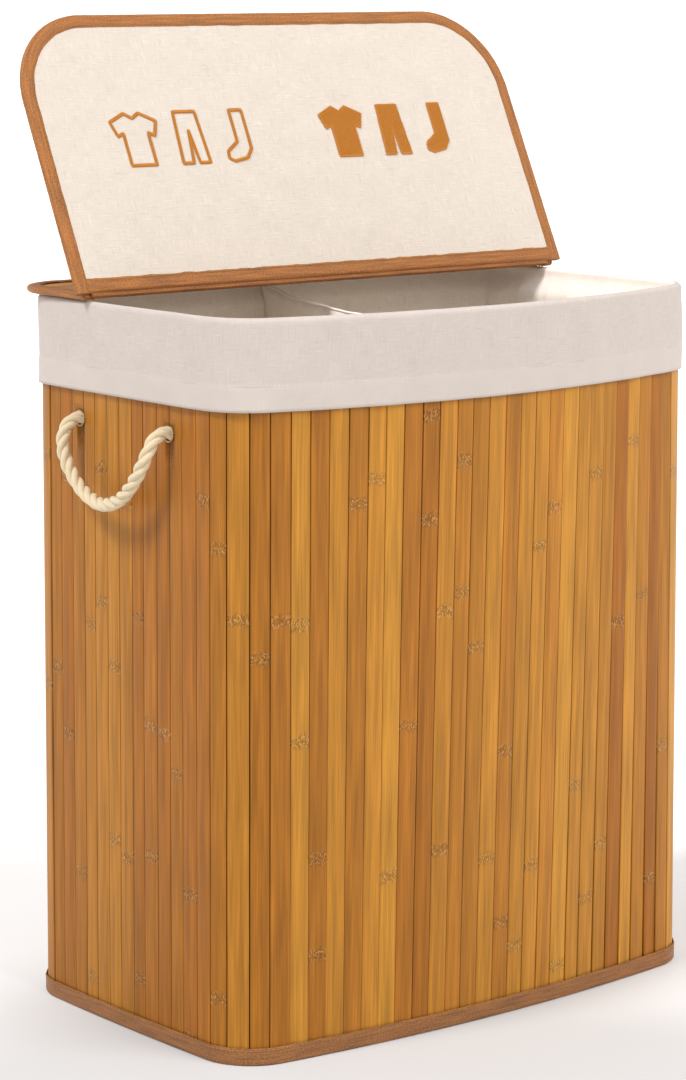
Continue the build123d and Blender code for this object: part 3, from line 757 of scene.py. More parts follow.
def wall_cloth(context):
    """Cloth glued behind the slats: one thin tube with its own woven finish."""
    low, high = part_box("wall_backing")
    z = np.linspace(low.z, high.z, 12)
    profile = np.stack([np.full(12, -0.4 * MM), z], -1)
    piece = carry_round("wall_backing_cloth", profile, MATERIALS["backing_cloth"], "hamper", 360, False)
    thicken(piece, 0.7 * MM)
    finish_piece(piece, "backing_cloth", "wall_backing")
    wall_length(0, 0.3)


# ---------------------------------------------------------------- liner

def liner(context):
    """Sewn liner: hem, cuff, rolled rim and hanging inner wall as one sheet carried round the wall.

    The profile climbs outside from the hem to the rim, turns over it in a half circle and hangs
    inside. Gentle random waves push the inner wall inwards in soft upright folds.
    """
    s = sizes()
    top, bottom = s.body_height, s.body_height - s.cuff_depth
    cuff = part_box("liner_cuff")[1].x - s.body_width / 2 - s.side_bow - 0.5 * MM
    inside, hang, neck = -2.6 * MM, -14.3 * MM, 28 * MM
    mid, roll = (cuff + inside) / 2, (cuff - inside) / 2
    up = np.linspace(bottom, top - roll - 1 * MM, 26)
    outside = np.stack([np.full_like(up, cuff), up], -1)
    turn = np.linspace(0, math.pi, 11)[1:-1]
    over = np.stack([mid + roll * np.cos(turn), top - roll - 0.5 * MM + roll * np.sin(turn)], -1)
    t = np.linspace(0, 1, 12)
    ease = t * t * (3 - 2 * t)
    shoulder = np.stack([inside + (hang - inside) * ease, top - roll - (neck - roll) * t], -1)
    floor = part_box("liner_floor")[0].z
    down = np.linspace(top - neck, floor + 0.5 * MM, 46)[1:]
    wall = np.stack([np.full_like(down, hang), down], -1)
    profile = np.concatenate([outside, over, shoulder, wall])
    step = np.arange(len(profile))
    is_cuff = step < len(outside)
    is_wall = step >= len(outside) + len(over)
    hem = (profile[:, 1] < bottom + s.hem_height) & is_cuff

    def folds(share, out, z):
        """Waves of the cuff, the thicker hem, and the inward folds of the hanging wall."""
        run = share * 1.62
        slack = np.clip((top - 6 * MM - z) / 0.05, 0, 1) * is_wall[None]
        broad = 2.6 * MM * (0.55 + 0.45 * ripple(run, 0.16 * z, 0.06, 21))
        inward = broad + 1.1 * MM * ripple(run, z * 0.3, 0.022, 22)
        cloth = 0.42 * MM * ripple(run, z * 0.6, 0.05, 23) + 0.10 * MM * ripple(run, z, 0.012, 24)
        seam = np.exp(-((z - bottom - s.hem_height) / (1.3 * MM)) ** 2) * is_cuff[None]
        sewn = 0.30 * MM * hem[None] - 0.35 * MM * seam
        return -np.clip(inward, 0, None) * slack + cloth + sewn

    piece = carry_round("liner_wall_and_cuff", profile, MATERIALS["liner_cotton"], "hamper", 560, False, folds)
    piece.data.materials.append(MATERIALS["liner_inside_painted_light"])
    piece.data.materials.append(MATERIALS["liner_hem"])
    # The hanging inside of the sheet takes the paler inside finish, which is painted light; the hem takes its own
    # finish.
    face = np.where(step >= len(outside) + 5, 1, 0) + 2 * hem
    face = np.tile(face[:-1], len(piece.data.polygons) // (len(profile) - 1))
    piece.data.polygons.foreach_set("material_index", face.astype(np.int32))
    thicken(piece, 0.8 * MM)
    finish_piece(piece, "liner_cotton", "liner_wall", "liner_cuff")
    wall_length(0, 0.3)
    count = 470
    share = (np.arange(count) + 0.5) / count
    half = 0.33 / count
    height = bottom + s.hem_height
    ends = [on_wall(cuff + 0.15 * MM, height, share + side * half) for side in (-1, 1)]
    seam = threads("cuff_hem_stitches", ends[0][0], ends[1][0], ends[0][1], 0.22 * MM,
                   MATERIALS["pale_thread"], "hamper")
    finish_piece(seam, "liner_cotton")


def disc(name, edge_out, z, material, body, thickness, seed, wave, rings=24, rows=180):
    """Flat cloth inside the wall's outline: the outline drawn in towards its middle ring by ring."""
    share = np.arange(rows) / rows
    r = np.linspace(1.0, 0.02, rings)
    edge, _ = on_wall(edge_out, z, share)
    flat = edge[:, None] * (r[None, :, None] * [1, 1, 0]) + [0, 0, z]
    flat[..., 2] += wave * ripple(flat[..., 0], flat[..., 1], 0.09, seed) * (1 - r[None] ** 6)
    points = flat.transpose(1, 0, 2)[None]
    uv = points[..., :2]
    uv = np.concatenate([uv, uv[:, :, :1]], 2)
    piece = build(name, points, material, body, uv, (False, True), (False, True))
    return thicken(piece, thickness)


def liner_floor(context):
    """Bottom panel of the liner, lying on the base board with a few low wrinkles."""
    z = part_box("liner_floor")[1].z + 0.4 * MM
    # The liner's floor takes the paler inside finish, which is painted light.
    piece = disc("liner_bottom_panel", -15.4 * MM, z, MATERIALS["liner_inside_painted_light"], "hamper", 0.8 * MM, 31, 0.5 * MM)
    finish_piece(piece, "liner_cotton", "liner_floor")


def base_cloth(context):
    """Cloth under the base board."""
    piece = disc("base_under_cloth", -2.2 * MM, 0.4 * MM, MATERIALS["backing_cloth"], "hamper", 0.7 * MM, 33, 0.0)
    finish_piece(piece, "backing_cloth", "base_cloth")


def divider(context):
    """Middle panel of the liner, sewn in at both sides, with a sagging hemmed top edge.

    Height runs in straight columns from the floor to a top edge that dips as a parabola. The panel
    leans sideways by a sine that grows towards the slack top.
    """
    s = sizes()
    low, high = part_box("liner_divider")
    columns, rows = 90, 70
    t = np.linspace(0, 1, columns)[None]
    h = np.linspace(0, 1, rows)[:, None]
    z = low.z + h * (high.z - 20 * MM * (1 - (2 * t - 1) ** 2) - low.z)
    out = np.interp(z, (0, s.body_height - 26 * MM, s.body_height - 1 * MM), (-15.1 * MM, -15.1 * MM, -3.4 * MM))
    front = -s.body_depth / 2 - s.front_bow_foot - (s.front_bow_rim - s.front_bow_foot) * z / s.body_height - out
    y = front + (s.body_depth / 2 + s.back_bow + out - front) * t
    slack = h ** 2 * np.sin(math.pi * t) ** 0.8
    x = slack * (7 * MM * np.sin(math.pi * (1.3 * t + 0.2)) + 3.0 * MM * ripple(y, z * 0.5, 0.09, 41))
    x = x + 1.0 * MM * slack * ripple(y, z, 0.03, 42)
    points = join(x, y, z)[None]
    uv = join(y, z)
    # The panel and its rolled hem take the paler inside finish, which is painted light.
    piece = build("liner_middle_panel", points, MATERIALS["liner_inside_painted_light"], "hamper", uv)
    thicken(piece, 0.9 * MM)
    finish_piece(piece, "liner_cotton", "liner_divider")
    top = points[0, -1]
    rows = 10
    turn = np.arange(rows) * FULL_TURN / rows
    ring = np.stack([np.cos(turn) * 1.5 * MM, 0 * turn, np.sin(turn) * 1.1 * MM], -1)
    roll = (top[:, None] + ring[None])[None]
    uv = join(np.linspace(0, 1, rows + 1)[None] * 8 * MM, top[:, 1][:, None])
    hem = build("liner_middle_panel_hem", roll, MATERIALS["liner_inside_painted_light"], "hamper", uv, (False, True), (True, True))
    finish_piece(hem, "liner_cotton")


# ---------------------------------------------------------------- lid

def turned_open(points):
    """Points of the closed flap turned about the hinge line to where the flap rests open."""
    angle = math.radians(JOINTS["lid_hinge"]["range_deg"][1] + 0.3)
    turn = np.array(Matrix.Rotation(-angle, 3, "X"))
    centre = np.array(HINGE)
    return (points - centre) @ turn.T + centre


def stay(points):
    """Points of the fixed strip, as they are."""
    return points


class Panel:
    """One lid panel lying flat: its width, hinge edge, far edge and the radius of its far corners."""

    def __init__(self, name, width, near, far, corner, body, place):
        """Keeps the panel's sizes, its body and the function that places its points."""
        self.name, self.width, self.near, self.far = name, width, near, far
        self.corner, self.body, self.place = corner, body, place
        self.way = math.copysign(1.0, far - near)

    def half_width(self, y, inset):
        """Half width at a place from hinge to far edge, less inset, following the round corners."""
        left = np.clip(np.abs(self.far - y) - inset, 0, None)
        radius = self.corner - inset
        dip = np.clip(radius - left, 0, radius)
        return self.width / 2 - inset - (radius - np.sqrt(np.maximum(radius ** 2 - dip ** 2, 0)))

    def edge(self, count):
        """Path round the two sides and the far edge, with outward directions, evenly spaced."""
        half, r = self.width / 2, self.corner
        a = np.linspace(0, math.pi / 2, 40)
        first = np.stack([-half + r - r * np.cos(a), self.far - self.way * (r - r * np.sin(a))], -1)
        second = first[::-1] * [-1, 1]
        line = np.concatenate([[(-half, self.near)], first, second, [(half, self.near)]])
        run = lengths(line)
        at = np.linspace(0, run[-1], count)
        path = along_path(line, run, at)
        along = unit(np.gradient(path, axis=0))
        out = np.stack([-along[:, 1], along[:, 0]], -1) * self.way * -1
        return path, -out if (out[0, 0] > 0) else out, at


def tape_profile(width, thickness, skin):
    """Section of a folded tape: places in from the edge and heights, round the nose and both legs."""
    half = thickness / 2
    nose = np.linspace(math.pi / 2, -math.pi / 2, 9)
    outer = [(half - half * math.cos(a), half * math.sin(a)) for a in nose]
    legs = [(width, half - 0.5 * skin), (width - 0.8 * MM, half), (width * 0.6, half + 0.1 * MM)]
    back = [(x, -z) for x, z in legs[::-1]]
    hollow = half - skin
    inner = [(width, -hollow), (skin + 1 * MM, -hollow), (skin, 0), (skin + 1 * MM, hollow), (width, hollow)]
    return np.array(legs + outer + back + inner)


def fold_tape(name, path, out, at, panel, thickness, material, wobble_seed):
    """Folded tape carried along a path in the lid's plane, with closed ends."""
    s = sizes()
    profile = tape_profile(s.tape_width, thickness, s.tape_thickness)
    inward, z = profile[:, 0][None], profile[:, 1][None]
    uneven = 0.25 * MM * ripple(at[:, None], inward, 0.03, wobble_seed)
    z = z + 0.12 * MM * ripple(at[:, None], inward, 0.012, wobble_seed + 1) * np.sign(z)
    spot = path[:, None] - out[:, None] * (inward + uneven * (inward > 4 * MM))[..., None]
    points = np.concatenate([spot, (HINGE.z + z + 0 * at[:, None])[..., None]], -1)
    run = lengths(profile)
    run = np.append(run, run[-1] + np.linalg.norm(profile[0] - profile[-1]))
    uv = join(run[None], at[:, None])
    points = panel.place(points)
    step = path[1] - path[0]
    flip = step[0] * out[0, 1] - step[1] * out[0, 0] < 0
    return build(name, points[None], material, panel.body, uv, (False, True), (True, True), flip=flip)


def edge_seam(name, path, out, panel, inset, spacing):
    """Row of stitches along a folded tape, on both faces of the lid."""
    s = sizes()
    run = lengths(path)
    count = int(run[-1] / spacing)
    middle = (np.arange(count) + 0.5) * spacing
    half_stitch = 0.33 * spacing
    face = np.repeat([-1.0, 1.0], count)
    height = HINGE.z + face * (s.lid_thickness / 2 + 0.02 * MM)
    first, last = (np.tile(along_path(path - out * inset, run, middle + side * half_stitch), (2, 1))
                   for side in (-1, 1))
    starts, stops = (panel.place(np.column_stack([spot, height])) for spot in (first, last))
    tips = panel.place(np.column_stack([first, height + face]))
    return threads(name, starts, stops, unit(tips - starts), 0.36 * MM, MATERIALS["sewing_thread"], panel.body)


def lid_panel(panel, nodes):
    """Slats, lining, side tape, hinge tape and seams of one lid panel."""
    s = sizes()
    depth = abs(panel.far - panel.near)
    pitch = s.slat_width + s.slat_gap
    count = round((depth - 2 * MM) / pitch)
    step = (depth - 2 * MM) / count
    y = panel.near + panel.way * (1 * MM + (np.arange(count) + 0.5) * step)
    z = HINGE.z + 0.1 * MM
    half = panel.half_width(y, 2 * MM)
    low = np.stack([-half, y, np.full(count, z)], -1)
    high = low * [-1, 1, 1]

    def spread(points):
        """Stretches each strip to the panel's rounded sides, then places it."""
        points = points.copy()
        points[..., 0] *= panel.half_width(points[..., 1], 2 * MM) / half[:, None, None]
        return panel.place(points)

    facing = np.tile([0.0, 0.0, 1.0], (count, 1))
    seed = 51 if panel.way < 0 else 52
    slats = strips(panel.name + "_bamboo_slats", low, high, facing, np.full(count, step), panel.body, seed, 24, spread)
    finish_piece(slats, "bamboo", nodes["slats"])

    rows, columns = 110, 150
    v = np.linspace(0, 1, rows)[:, None] ** 0.8
    u = np.linspace(-1, 1, columns)[None]
    y = panel.near + panel.way * (1.5 * MM + v * (depth - 3 * MM)) + 0 * u
    x = u * panel.half_width(y, 1.5 * MM)
    inner = np.minimum(panel.half_width(y, 0) - np.abs(x), np.minimum(np.abs(y - panel.near), np.abs(panel.far - y)))
    rise = np.clip((inner - 7 * MM) / (30 * MM), 0, 1)
    puff = 0.9 * MM * np.sqrt(rise) + 0.14 * MM * ripple(x, y, 0.05, 61) * rise
    z = HINGE.z - 1.6 * MM - 0.2 * MM - puff
    points = panel.place(join(x, y, z))[None]
    uv = np.stack([x, y], -1)[None]
    lining = build(panel.name + "_linen_lining", points, MATERIALS["lid_linen"], panel.body, uv, flip=panel.way > 0)
    thicken(lining, 0.4 * MM)
    finish_piece(lining, "lid_linen", nodes["lining"])

    path, out, at = panel.edge(420)
    tape, inset = MATERIALS["brown_tape"], s.tape_width - 2 * MM
    side = fold_tape(panel.name + "_side_tape", path, out, at, panel, s.lid_thickness, tape, 71)
    finish_piece(side, "brown_tape", nodes["tape"])
    seam = edge_seam(panel.name + "_side_tape_stitches", path, out, panel, inset, 3.8 * MM)
    finish_piece(seam, "brown_tape")
    half = panel.width / 2 - 1.5 * MM
    x = np.linspace(-half, half, 260)
    line = np.stack([x, np.full_like(x, panel.near)], -1)
    outward = np.tile([0.0, -panel.way], (260, 1))
    hinge = fold_tape(panel.name + "_hinge_tape", line, outward, x + half, panel, s.lid_thickness - 0.7 * MM, tape, 75)
    finish_piece(hinge, "brown_tape")
    inner = np.abs(x) < half - s.tape_width
    seam = edge_seam(panel.name + "_hinge_tape_stitches", line[inner], outward[inner], panel, inset, 3.8 * MM)
    finish_piece(seam, "brown_tape")


def lid_panels():
    """The fixed rear strip and the opening flap, from the sizes of their CAD tapes."""
    strip_low, strip_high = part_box("lid_strip_tape")
    flap_low, flap_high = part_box("lid_flap_tape")
    gap = strip_low.y - HINGE.y
    flat = -math.radians(JOINTS["lid_hinge"]["range_deg"][1] + 0.3)
    far = corners(frame["nodes"]["lid_flap_tape"].data) - np.array(HINGE)
    reach = (far @ np.array(Matrix.Rotation(-flat, 3, "X")).T)[:, 1].min()
    strip = Panel("lid_strip", strip_high.x - strip_low.x, HINGE.y + gap, strip_high.y, 0.050, "hamper", stay)
    flap = Panel("lid_flap", flap_high.x - flap_low.x, HINGE.y - gap, HINGE.y + reach, 0.082, "lid", turned_open)
    return strip, flap


def lid(context):
    """The fixed rear strip and the opening flap."""
    for panel in lid_panels():
        parts = ("slats", "backing", "lining", "tape")
        lid_panel(panel, {part: panel.name + "_" + part for part in parts})


def hinge_cloth(context):
    """Cloth that joins strip and flap: a narrow sheet bent at the fold line."""
    strip, _ = lid_panels()
    half = strip.width / 2 - 8 * MM
    gap = strip.near - HINGE.y
    x = np.linspace(-half, half, 120)
    reach = np.linspace(gap + 5 * MM, 0.4 * MM, 8)
    still = np.stack([0 * reach, HINGE.y + reach, HINGE.z + 0 * reach], -1)
    moving = turned_open(np.stack([0 * reach, HINGE.y - reach, HINGE.z + 0 * reach], -1))[::-1]
    profile = np.concatenate([still, moving])
    points = profile[None, :] + x[:, None, None] * np.array([1.0, 0, 0])
    run = np.linspace(0, 2 * gap + 10 * MM, len(profile))
    uv = join(run[None], x[:, None])
    piece = build("lid_hinge_cloth", points[None], MATERIALS["brown_tape"], None, uv)
    thicken(piece, 0.6 * MM)
    apply_modifiers(piece)
    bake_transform(piece)
    finish_piece(piece, "lid_linen", "lid_strip_hinge_leaf", "lid_flap_hinge_leaf")


def anchor_tape(context):
    """Woven tape that holds the lid's rear strip to the back wall, stitched down at its foot."""
    low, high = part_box("lid_anchor_tape")
    s = sizes()
    outer = 7.0 * MM
    below = np.array([-0.8, 8, 30, 50, 70, 76.5, 80, 84, 90, 100, 110]) * MM
    heights = np.append(s.body_height - below, low.z)
    outs = outer - np.array([0, 0, 0, 0, 0, 0, 0.4, 2.2, 2.9, 3.0, 3.0, 3.0]) * MM
    reach = high.x / wall_length(0.0, 0.6)
    share = np.linspace(-reach, reach, 120)
    points, facing = on_wall(0.0, heights[None] + 0 * share[:, None], np.abs(share)[:, None] + 0 * heights[None])
    mirror = np.where(share > 0, 1.0, -1.0)[:, None]
    points[..., 0] *= mirror
    facing[..., 0] *= mirror
    points = points + facing * outs[None, :, None]
    run = np.concatenate([[0], np.cumsum(np.hypot(np.diff(heights), np.diff(outs)))])
    uv = join(run[None], points[:, 0, 0][:, None])
    piece = build("lid_anchor_band", points[None], MATERIALS["anchor_cloth"], "hamper", uv)
    thicken(piece, 0.8 * MM)
    finish_piece(piece, "rim_binding", "lid_anchor_tape")
    count = 70
    x = np.linspace(low.x + 4 * MM, high.x - 4 * MM, count)
    starts, stops, normals = [], [], []
    for z in (low.z + 4 * MM, low.z + 14 * MM):
        for side, group in ((-1, starts), (1, stops)):
            share = np.abs(x + side * 1.3 * MM) / wall_length(0.0, 0.6)
            spot, out = on_wall(0.0, z, share)
            out[:, 0] *= -np.sign(x + 1e-9)
            spot[:, 0] *= -np.sign(x + 1e-9)
            group.append(spot + out * (outer - 2.55 * MM))
        normals.append(out)
    seam = threads("lid_anchor_stitches", *(np.concatenate(g) for g in (starts, stops, normals)), 0.3 * MM,
                   MATERIALS["pale_thread"], "hamper")
    finish_piece(seam, "rim_binding")


# ---------------------------------------------------------------- sorting marks

SHIRT = [(-0.16, 0.5), (-0.5, 0.34), (-0.4, 0.06), (-0.27, 0.12), (-0.27, -0.5),
         (0.27, -0.5), (0.27, 0.12), (0.4, 0.06), (0.5, 0.34), (0.16, 0.5), (0.0, 0.4)]
TROUSERS = [(-0.24, 0.5), (-0.3, -0.5), (-0.07, -0.5), (0.0, 0.14), (0.07, -0.5), (0.3, -0.5), (0.24, 0.5)]
SOCK = [(-0.14, 0.5), (-0.14, -0.12), (-0.4, -0.3), (-0.42, -0.44), (-0.3, -0.5),
        (0.0, -0.44), (0.14, -0.26), (0.14, 0.5)]


def outline_stitches(points, spacing, half):
    """Satin border: stitches across a closed outline, from just inside to just outside it."""
    loop = np.concatenate([points, points[:1]])
    run = lengths(loop)
    at = np.arange(0, run[-1], spacing)
    behind, middle, ahead = (along_path(loop, run, (at + step) % run[-1]) for step in (-1.5 * MM, 0.0, 1.5 * MM))
    along = unit(ahead - behind)
    across = np.stack([-along[:, 1], along[:, 0]], -1)
    lean = 0.25 * along
    return middle - (across - lean) * half, middle + (across - lean) * half


def fill_stitches(points, spacing, stitch):
    """Filling: rows of end-to-end stitches, each kept where its middle lies inside the outline."""
    low, high = points.min(0), points.max(0)
    y = np.arange(low[1], high[1], spacing)
    x = np.arange(low[0] - stitch, high[0] + stitch, stitch)
    row = np.arange(len(y))
    cx = x[None] + (row % 4)[:, None] * stitch / 4
    cy = y[:, None] + 0 * cx
    x0, y0 = points[:, 0], points[:, 1]
    x1, y1 = np.roll(x0, -1), np.roll(y0, -1)
    above = (y0 > cy[..., None]) != (y1 > cy[..., None])
    cross = x0 + (cy[..., None] - y0) / np.where(y1 == y0, 1e-9, y1 - y0) * (x1 - x0) > cx[..., None]
    inside = (above & cross).sum(-1) % 2 == 1
    middle = np.stack([cx[inside], cy[inside]], -1)
    reach = np.array([stitch * 0.55, 0.0])
    return middle - reach, middle + reach


def sorting_marks(context):
    """Two rows of embroidered garments on the lining: outlines for lights, filled for darks."""
    s = sizes()
    _, flap = lid_panels()
    face, from_hinge = HINGE.z - 3.1 * MM, 0.140
    pitch, border, thin_border, row_gap, stitch = 0.058, 1.8 * MM, 1.1 * MM, 0.62 * MM, 4.5 * MM
    for name, centre, filled in (("lights", -0.116, False), ("darks", 0.120, True)):
        starts, stops = [], []
        for number, shape in enumerate((SHIRT, TROUSERS, SOCK)):
            points = np.array(shape) * s.mark_height + [centre + (number - 1) * pitch, 0.0]
            rows = [outline_stitches(points, row_gap, thin_border if filled else border)]
            if filled:
                rows.append(fill_stitches(points, row_gap, stitch))
            starts += [r[0] for r in rows]
            stops += [r[1] for r in rows]
        ends = []
        for group in (starts, stops):
            flat = np.concatenate(group)
            y = flap.near - (from_hinge + flat[:, 1])
            ends.append(np.stack([flat[:, 0], y, np.full(len(flat), face)], -1))
        down = np.tile([0.0, 0.0, -1.0], (len(ends[0]), 1))
        first, last, tip = (flap.place(p) for p in (ends[0], ends[1], ends[0] + down))
        piece = threads(name + "_embroidery", first, last, unit(tip - first), 0.34 * MM, MATERIALS["thread"], "lid",
                        lift=0.5)
        finish_piece(piece, "thread", name + "_mark")


# ---------------------------------------------------------------- rope handles

# Route of the left loop: x, y and z of its control points, from the rear hole to the front hole.
ROPE_ROUTE = [
    (-0.256, 0.0650, 0.5270), (-0.266, 0.0650, 0.5275), (-0.276, 0.0655, 0.5265), (-0.283, 0.0665, 0.5175),
    (-0.285, 0.0665, 0.5030), (-0.283, 0.0575, 0.4820), (-0.283, 0.0350, 0.4650), (-0.287, 0.0040, 0.4590),
    (-0.291, -0.0290, 0.4680), (-0.292, -0.0510, 0.4870), (-0.290, -0.0630, 0.5070), (-0.284, -0.0655, 0.5225),
    (-0.275, -0.0655, 0.5285), (-0.266, -0.0650, 0.5275), (-0.256, -0.0650, 0.5270),
]


def smooth_route(name, route, spacing):
    """Evenly spaced points of a NURBS line with these control points, read from its own mesh."""
    curve = bpy.data.curves.new(name, "CURVE")
    curve.dimensions = "3D"
    spline = curve.splines.new("NURBS")
    spline.points.add(len(route) - 1)
    spline.points.foreach_set("co", np.column_stack([route, np.ones(len(route))]).reshape(-1))
    spline.order_u = 3
    spline.use_endpoint_u = True
    spline.resolution_u = 24
    holder = bpy.data.objects.new(name, curve)
    line = bpy.data.meshes.new_from_object(holder)
    raw = corners(line)
    bpy.data.objects.remove(holder)
    bpy.data.meshes.remove(line)
    bpy.data.curves.remove(curve)
    run = lengths(raw)
    at = np.linspace(0, run[-1], int(run[-1] / spacing))
    return along_path(raw, run, at), at


def laid_rope(name, path, at, centre, diameter, lay, body):
    """Three strands laid round a path: each strand's middle circles the path once every lay.

    Across the path stand two directions, one towards the middle of the loop and one square to it.
    Each strand is a round tube about a helix in those directions.
    """
    along = unit(np.gradient(path, axis=0))
    inward = centre - path
    inward = unit(inward - (inward * along).sum(-1, keepdims=True) * along)
    square = np.cross(along, inward)
    strand, sides = 0.25 * diameter, 16
    circle = diameter / 2 - strand
    phase = FULL_TURN * (at[None] / lay + np.arange(3)[:, None] / 3)
    middle = path[None] + circle * (np.cos(phase)[..., None] * inward + np.sin(phase)[..., None] * square)
    heading = unit(np.gradient(middle, axis=1))
    first = middle - path[None]
    first = unit(first - (first * heading).sum(-1, keepdims=True) * heading)
    second = np.cross(heading, first)
    turn = np.arange(sides) * FULL_TURN / sides
    shape = strand * (1 + 0.04 * ripple(at[None] + 0 * phase, 3.0 * np.arange(3)[:, None] + 0 * phase, 0.012, 81))
    ring = np.cos(turn)[:, None] * first[:, :, None] + np.sin(turn)[:, None] * second[:, :, None]
    points = middle[:, :, None] + ring * shape[:, :, None, None]
    u = np.arange(sides + 1) / sides * FULL_TURN * strand
    uv = join(u[None, None], at[None, :, None])
    return build(name, points, MATERIALS["rope_cotton"], body, uv, (False, True), (True, True), flip=True)


def rope_handles(context):
    """Both rope loops, which bend between wall and handle where they leave the holes."""
    s = sizes()
    for side, name in ((-1, "left"), (1, "right")):
        route = [(-side * x, y, z) for x, y, z in ROPE_ROUTE]
        path, at = smooth_route(name + "_rope_line", route, 1.0 * MM)
        centre = np.array([side * 0.284, 0.0, 0.507])
        rope = laid_rope(name + "_rope_loop", path, at, centre, s.rope_diameter, s.rope_lay, None)
        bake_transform(rope)
        finish_piece(rope, "rope_cotton", name + "_handle_rope")


def trefoil(size, depth, tube, steps=90, sides=12):
    """Closed overhand knot: the trefoil curve, flattened, with a round tube carried along it."""
    t = np.arange(steps) * FULL_TURN / steps
    line = np.stack([np.sin(t) + 2 * np.sin(2 * t), np.cos(t) - 2 * np.cos(2 * t), -np.sin(3 * t)], -1)
    line = line * [size / 3, size / 3, depth]
    along = unit(np.roll(line, -1, 0) - np.roll(line, 1, 0))
    first = unit(np.cross(along, [0, 0, 1.0]))
    second = np.cross(along, first)
    turn = np.arange(sides) * FULL_TURN / sides
    ring = np.cos(turn)[None, :, None] * first[:, None] + np.sin(turn)[None, :, None] * second[:, None]
    return line[:, None] + tube * ring


def rope_knots(context):
    """Knot behind the wall at each rope end."""
    for side, name in ((-1, "left"), (1, "right")):
        knot = trefoil(7.6 * MM, 1.9 * MM, 3.2 * MM)
        low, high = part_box(name + "_handle_knots")
        x = (low.x if side > 0 else high.x) + side * 5.2 * MM
        turned = np.stack([side * knot[..., 2], knot[..., 0], knot[..., 1]], -1)
        points = np.stack([turned + [x, y, SWING.z] for y in (-HOLE_HALF, HOLE_HALF)])
        rows, sides = points.shape[1:3]
        uv = np.stack(np.meshgrid(np.arange(sides + 1) * 1.7 * MM, np.arange(rows + 1) * 1.2 * MM), -1)
        piece = build(name + "_rope_knots", points, MATERIALS["rope_cotton"], "hamper", uv, (True, True), flip=side > 0)
        finish_piece(piece, "rope_cotton", name + "_handle_knots")


def eyelets(context):
    """Buttonhole-stitched ring round each rope hole: threads laid outwards all round."""
    s = sizes()
    hole = s.rope_diameter / 2 - 0.4 * MM
    turn = np.arange(34) * FULL_TURN / 34
    around = np.stack([0 * turn, np.cos(turn), np.sin(turn)], -1)
    for side, name in ((-1, "left"), (1, "right")):
        low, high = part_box(name + "_handle_eyelets")
        x = (low.x if side > 0 else high.x) + side * 0.25 * MM
        middles = np.array([[(x, y, SWING.z)] for y in (-HOLE_HALF, HOLE_HALF)])
        starts = (middles + around * hole).reshape(-1, 3)
        stops = (middles + around * (hole + 1.7 * MM)).reshape(-1, 3)
        normals = np.tile([float(side), 0, 0], (len(starts), 1))
        piece = threads(name + "_hole_stitching", starts, stops, normals, 0.30 * MM, MATERIALS["rope_cotton"], "hamper")
        finish_piece(piece, "rope_cotton", name + "_handle_eyelets")


# ---------------------------------------------------------------- stage

def soft_light(name, toward, spread, share):
    """Soft distant light from the direction toward, as wide as spread degrees."""
    data = bpy.data.lights.new(name, "SUN")
    data.angle = math.radians(spread)
    data.energy = share * math.pi
    lamp = bpy.data.objects.new(name, data)
    lamp.rotation_euler = Vector(toward).to_track_quat("Z", "Y").to_euler()
    bpy.context.scene.collection.objects.link(lamp)


SURROUND = 0.62
LIGHTS = {"Key": ((-1.0, 0.05, 1.4), 14, 0.68), "Fill": ((0.30, -1.0, 0.9), 40, 0.58)}
FLOOR_REACH = 150
CAMERA = {"place": (-1.930, -2.348, 0.918), "yaw": 39.04, "pitch": 6.035}
LENS = {"sensor_width": 36.0, "lens": 113.3, "shift_y": -0.20, "clip_end": 400.0}


def stage(context):
    """Wide pale floor, an even white surround, two soft lights and the camera."""
    scene = context.scene
    side = np.linspace(-FLOOR_REACH, FLOOR_REACH, 7)
    x, y = np.meshgrid(side, side, indexing="ij")
    floor = build("studio_floor", join(x, y, -0.2 * MM)[None], MATERIALS["floor"], None, flip=True)
    scene.world = bpy.data.worlds.new("Studio")
    scene.world.use_nodes = True
    surround = scene.world.node_tree.nodes["Background"]
    surround.inputs["Color"].default_value = (1.0, 1.0, 1.0, 1.0)
    surround.inputs["Strength"].default_value = SURROUND
    for name, (toward, spread, share) in LIGHTS.items():
        soft_light(name, toward, spread, share)
    scene.view_settings.view_transform = "Standard"
    scene.camera = bpy.data.objects.new("Camera", bpy.data.cameras.new("Camera"))
    scene.collection.objects.link(scene.camera)
    yaw, pitch = math.radians(CAMERA["yaw"]), math.radians(CAMERA["pitch"])
    ahead = Vector((math.sin(yaw) * math.cos(pitch), math.cos(yaw) * math.cos(pitch), -math.sin(pitch)))
    scene.camera.location = CAMERA["place"]
    scene.camera.rotation_euler = ahead.to_track_quat("-Z", "Y").to_euler()
    for setting, value in LENS.items():
        setattr(scene.camera.data, setting, value)


# ---------------------------------------------------------------- add-on

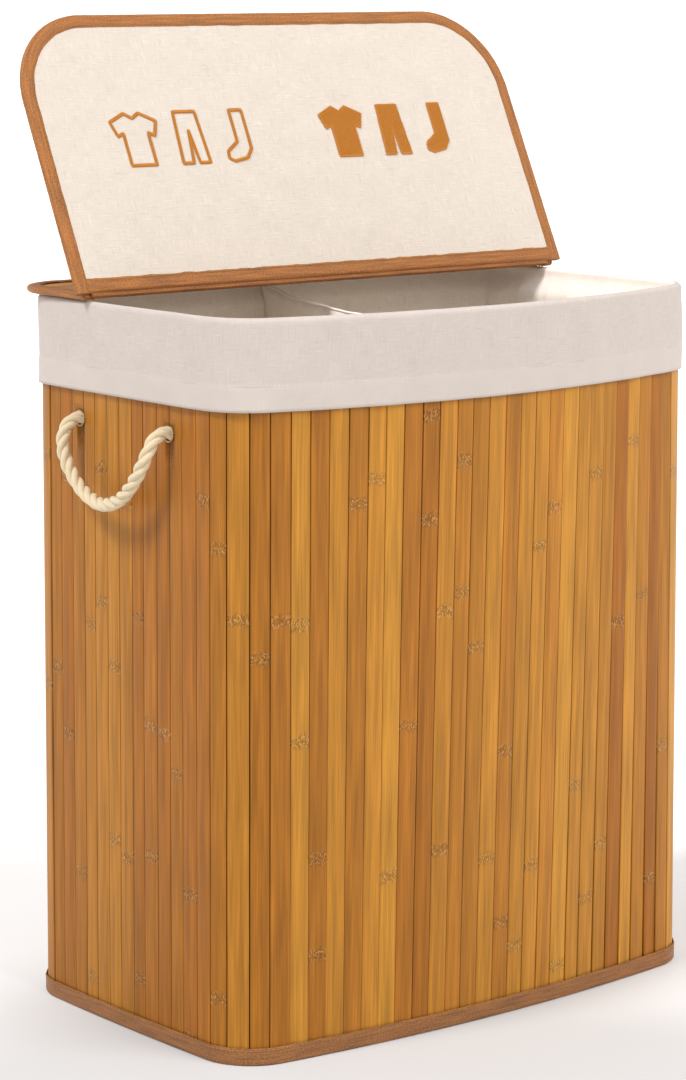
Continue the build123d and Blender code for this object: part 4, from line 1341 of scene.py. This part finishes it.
def operator(name, label, make):
    """Operator class that runs one maker, and fails if the maker does."""

    def execute(self, context):
        """Runs the maker."""
        make(context)
        return {"FINISHED"}

    return type("HAMPER_OT_" + name, (bpy.types.Operator,), {
        "bl_idname": "hamper." + name, "bl_label": label, "__doc__": make.__doc__, "execute": execute})


OPERATORS = [
    operator("stage", "Studio", stage),
    operator("slats", "Slat wall", slat_wall),
    operator("foot_tape", "Foot tape", foot_tape),
    operator("wall_cloth", "Backing cloth", wall_cloth),
    operator("base_cloth", "Base cloth", base_cloth),
    operator("liner", "Liner wall and cuff", liner),
    operator("liner_floor", "Liner floor", liner_floor),
    operator("divider", "Divider", divider),
    operator("lid", "Lid strip and flap", lid),
    operator("hinge_cloth", "Hinge cloth", hinge_cloth),
    operator("anchor_tape", "Anchor tape", anchor_tape),
    operator("marks", "Sorting marks", sorting_marks),
    operator("ropes", "Rope handles", rope_handles),
    operator("knots", "Rope knots", rope_knots),
    operator("eyelets", "Hole stitching", eyelets),
]


class HAMPER_PT_panel(bpy.types.Panel):
    """Sidebar panel with the hamper's sizes, colours and makers."""

    bl_label = "Bamboo hamper"
    bl_idname = "HAMPER_PT_panel"
    bl_space_type = "VIEW_3D"
    bl_region_type = "UI"
    bl_category = "Hamper"

    def draw(self, context):
        """Lays out the settings and one button for each maker."""
        for group in (context.scene.hamper_sizes, context.scene.hamper_colours):
            box = self.layout.box()
            for name in group.__annotations__:
                box.prop(group, name)
        for made in OPERATORS:
            self.layout.operator(made.bl_idname)


CLASSES = [HamperSizes, HamperColours, *OPERATORS, HAMPER_PT_panel]


def register():
    """Registers every class and hangs the settings on the scene."""
    for made in CLASSES:
        bpy.utils.register_class(made)
    bpy.types.Scene.hamper_sizes = PointerProperty(type=HamperSizes)
    bpy.types.Scene.hamper_colours = PointerProperty(type=HamperColours)


def unregister():
    """Removes the settings and every class."""
    del bpy.types.Scene.hamper_sizes
    del bpy.types.Scene.hamper_colours
    for made in reversed(CLASSES):
        bpy.utils.unregister_class(made)


def main():
    """Registers the add-on, makes every piece in order and writes the two boxes."""
    register()
    make_materials()
    for made in OPERATORS:
        getattr(bpy.ops.hamper, made.bl_idname.split(".")[1])()


if __name__ == "__main__":
    main()
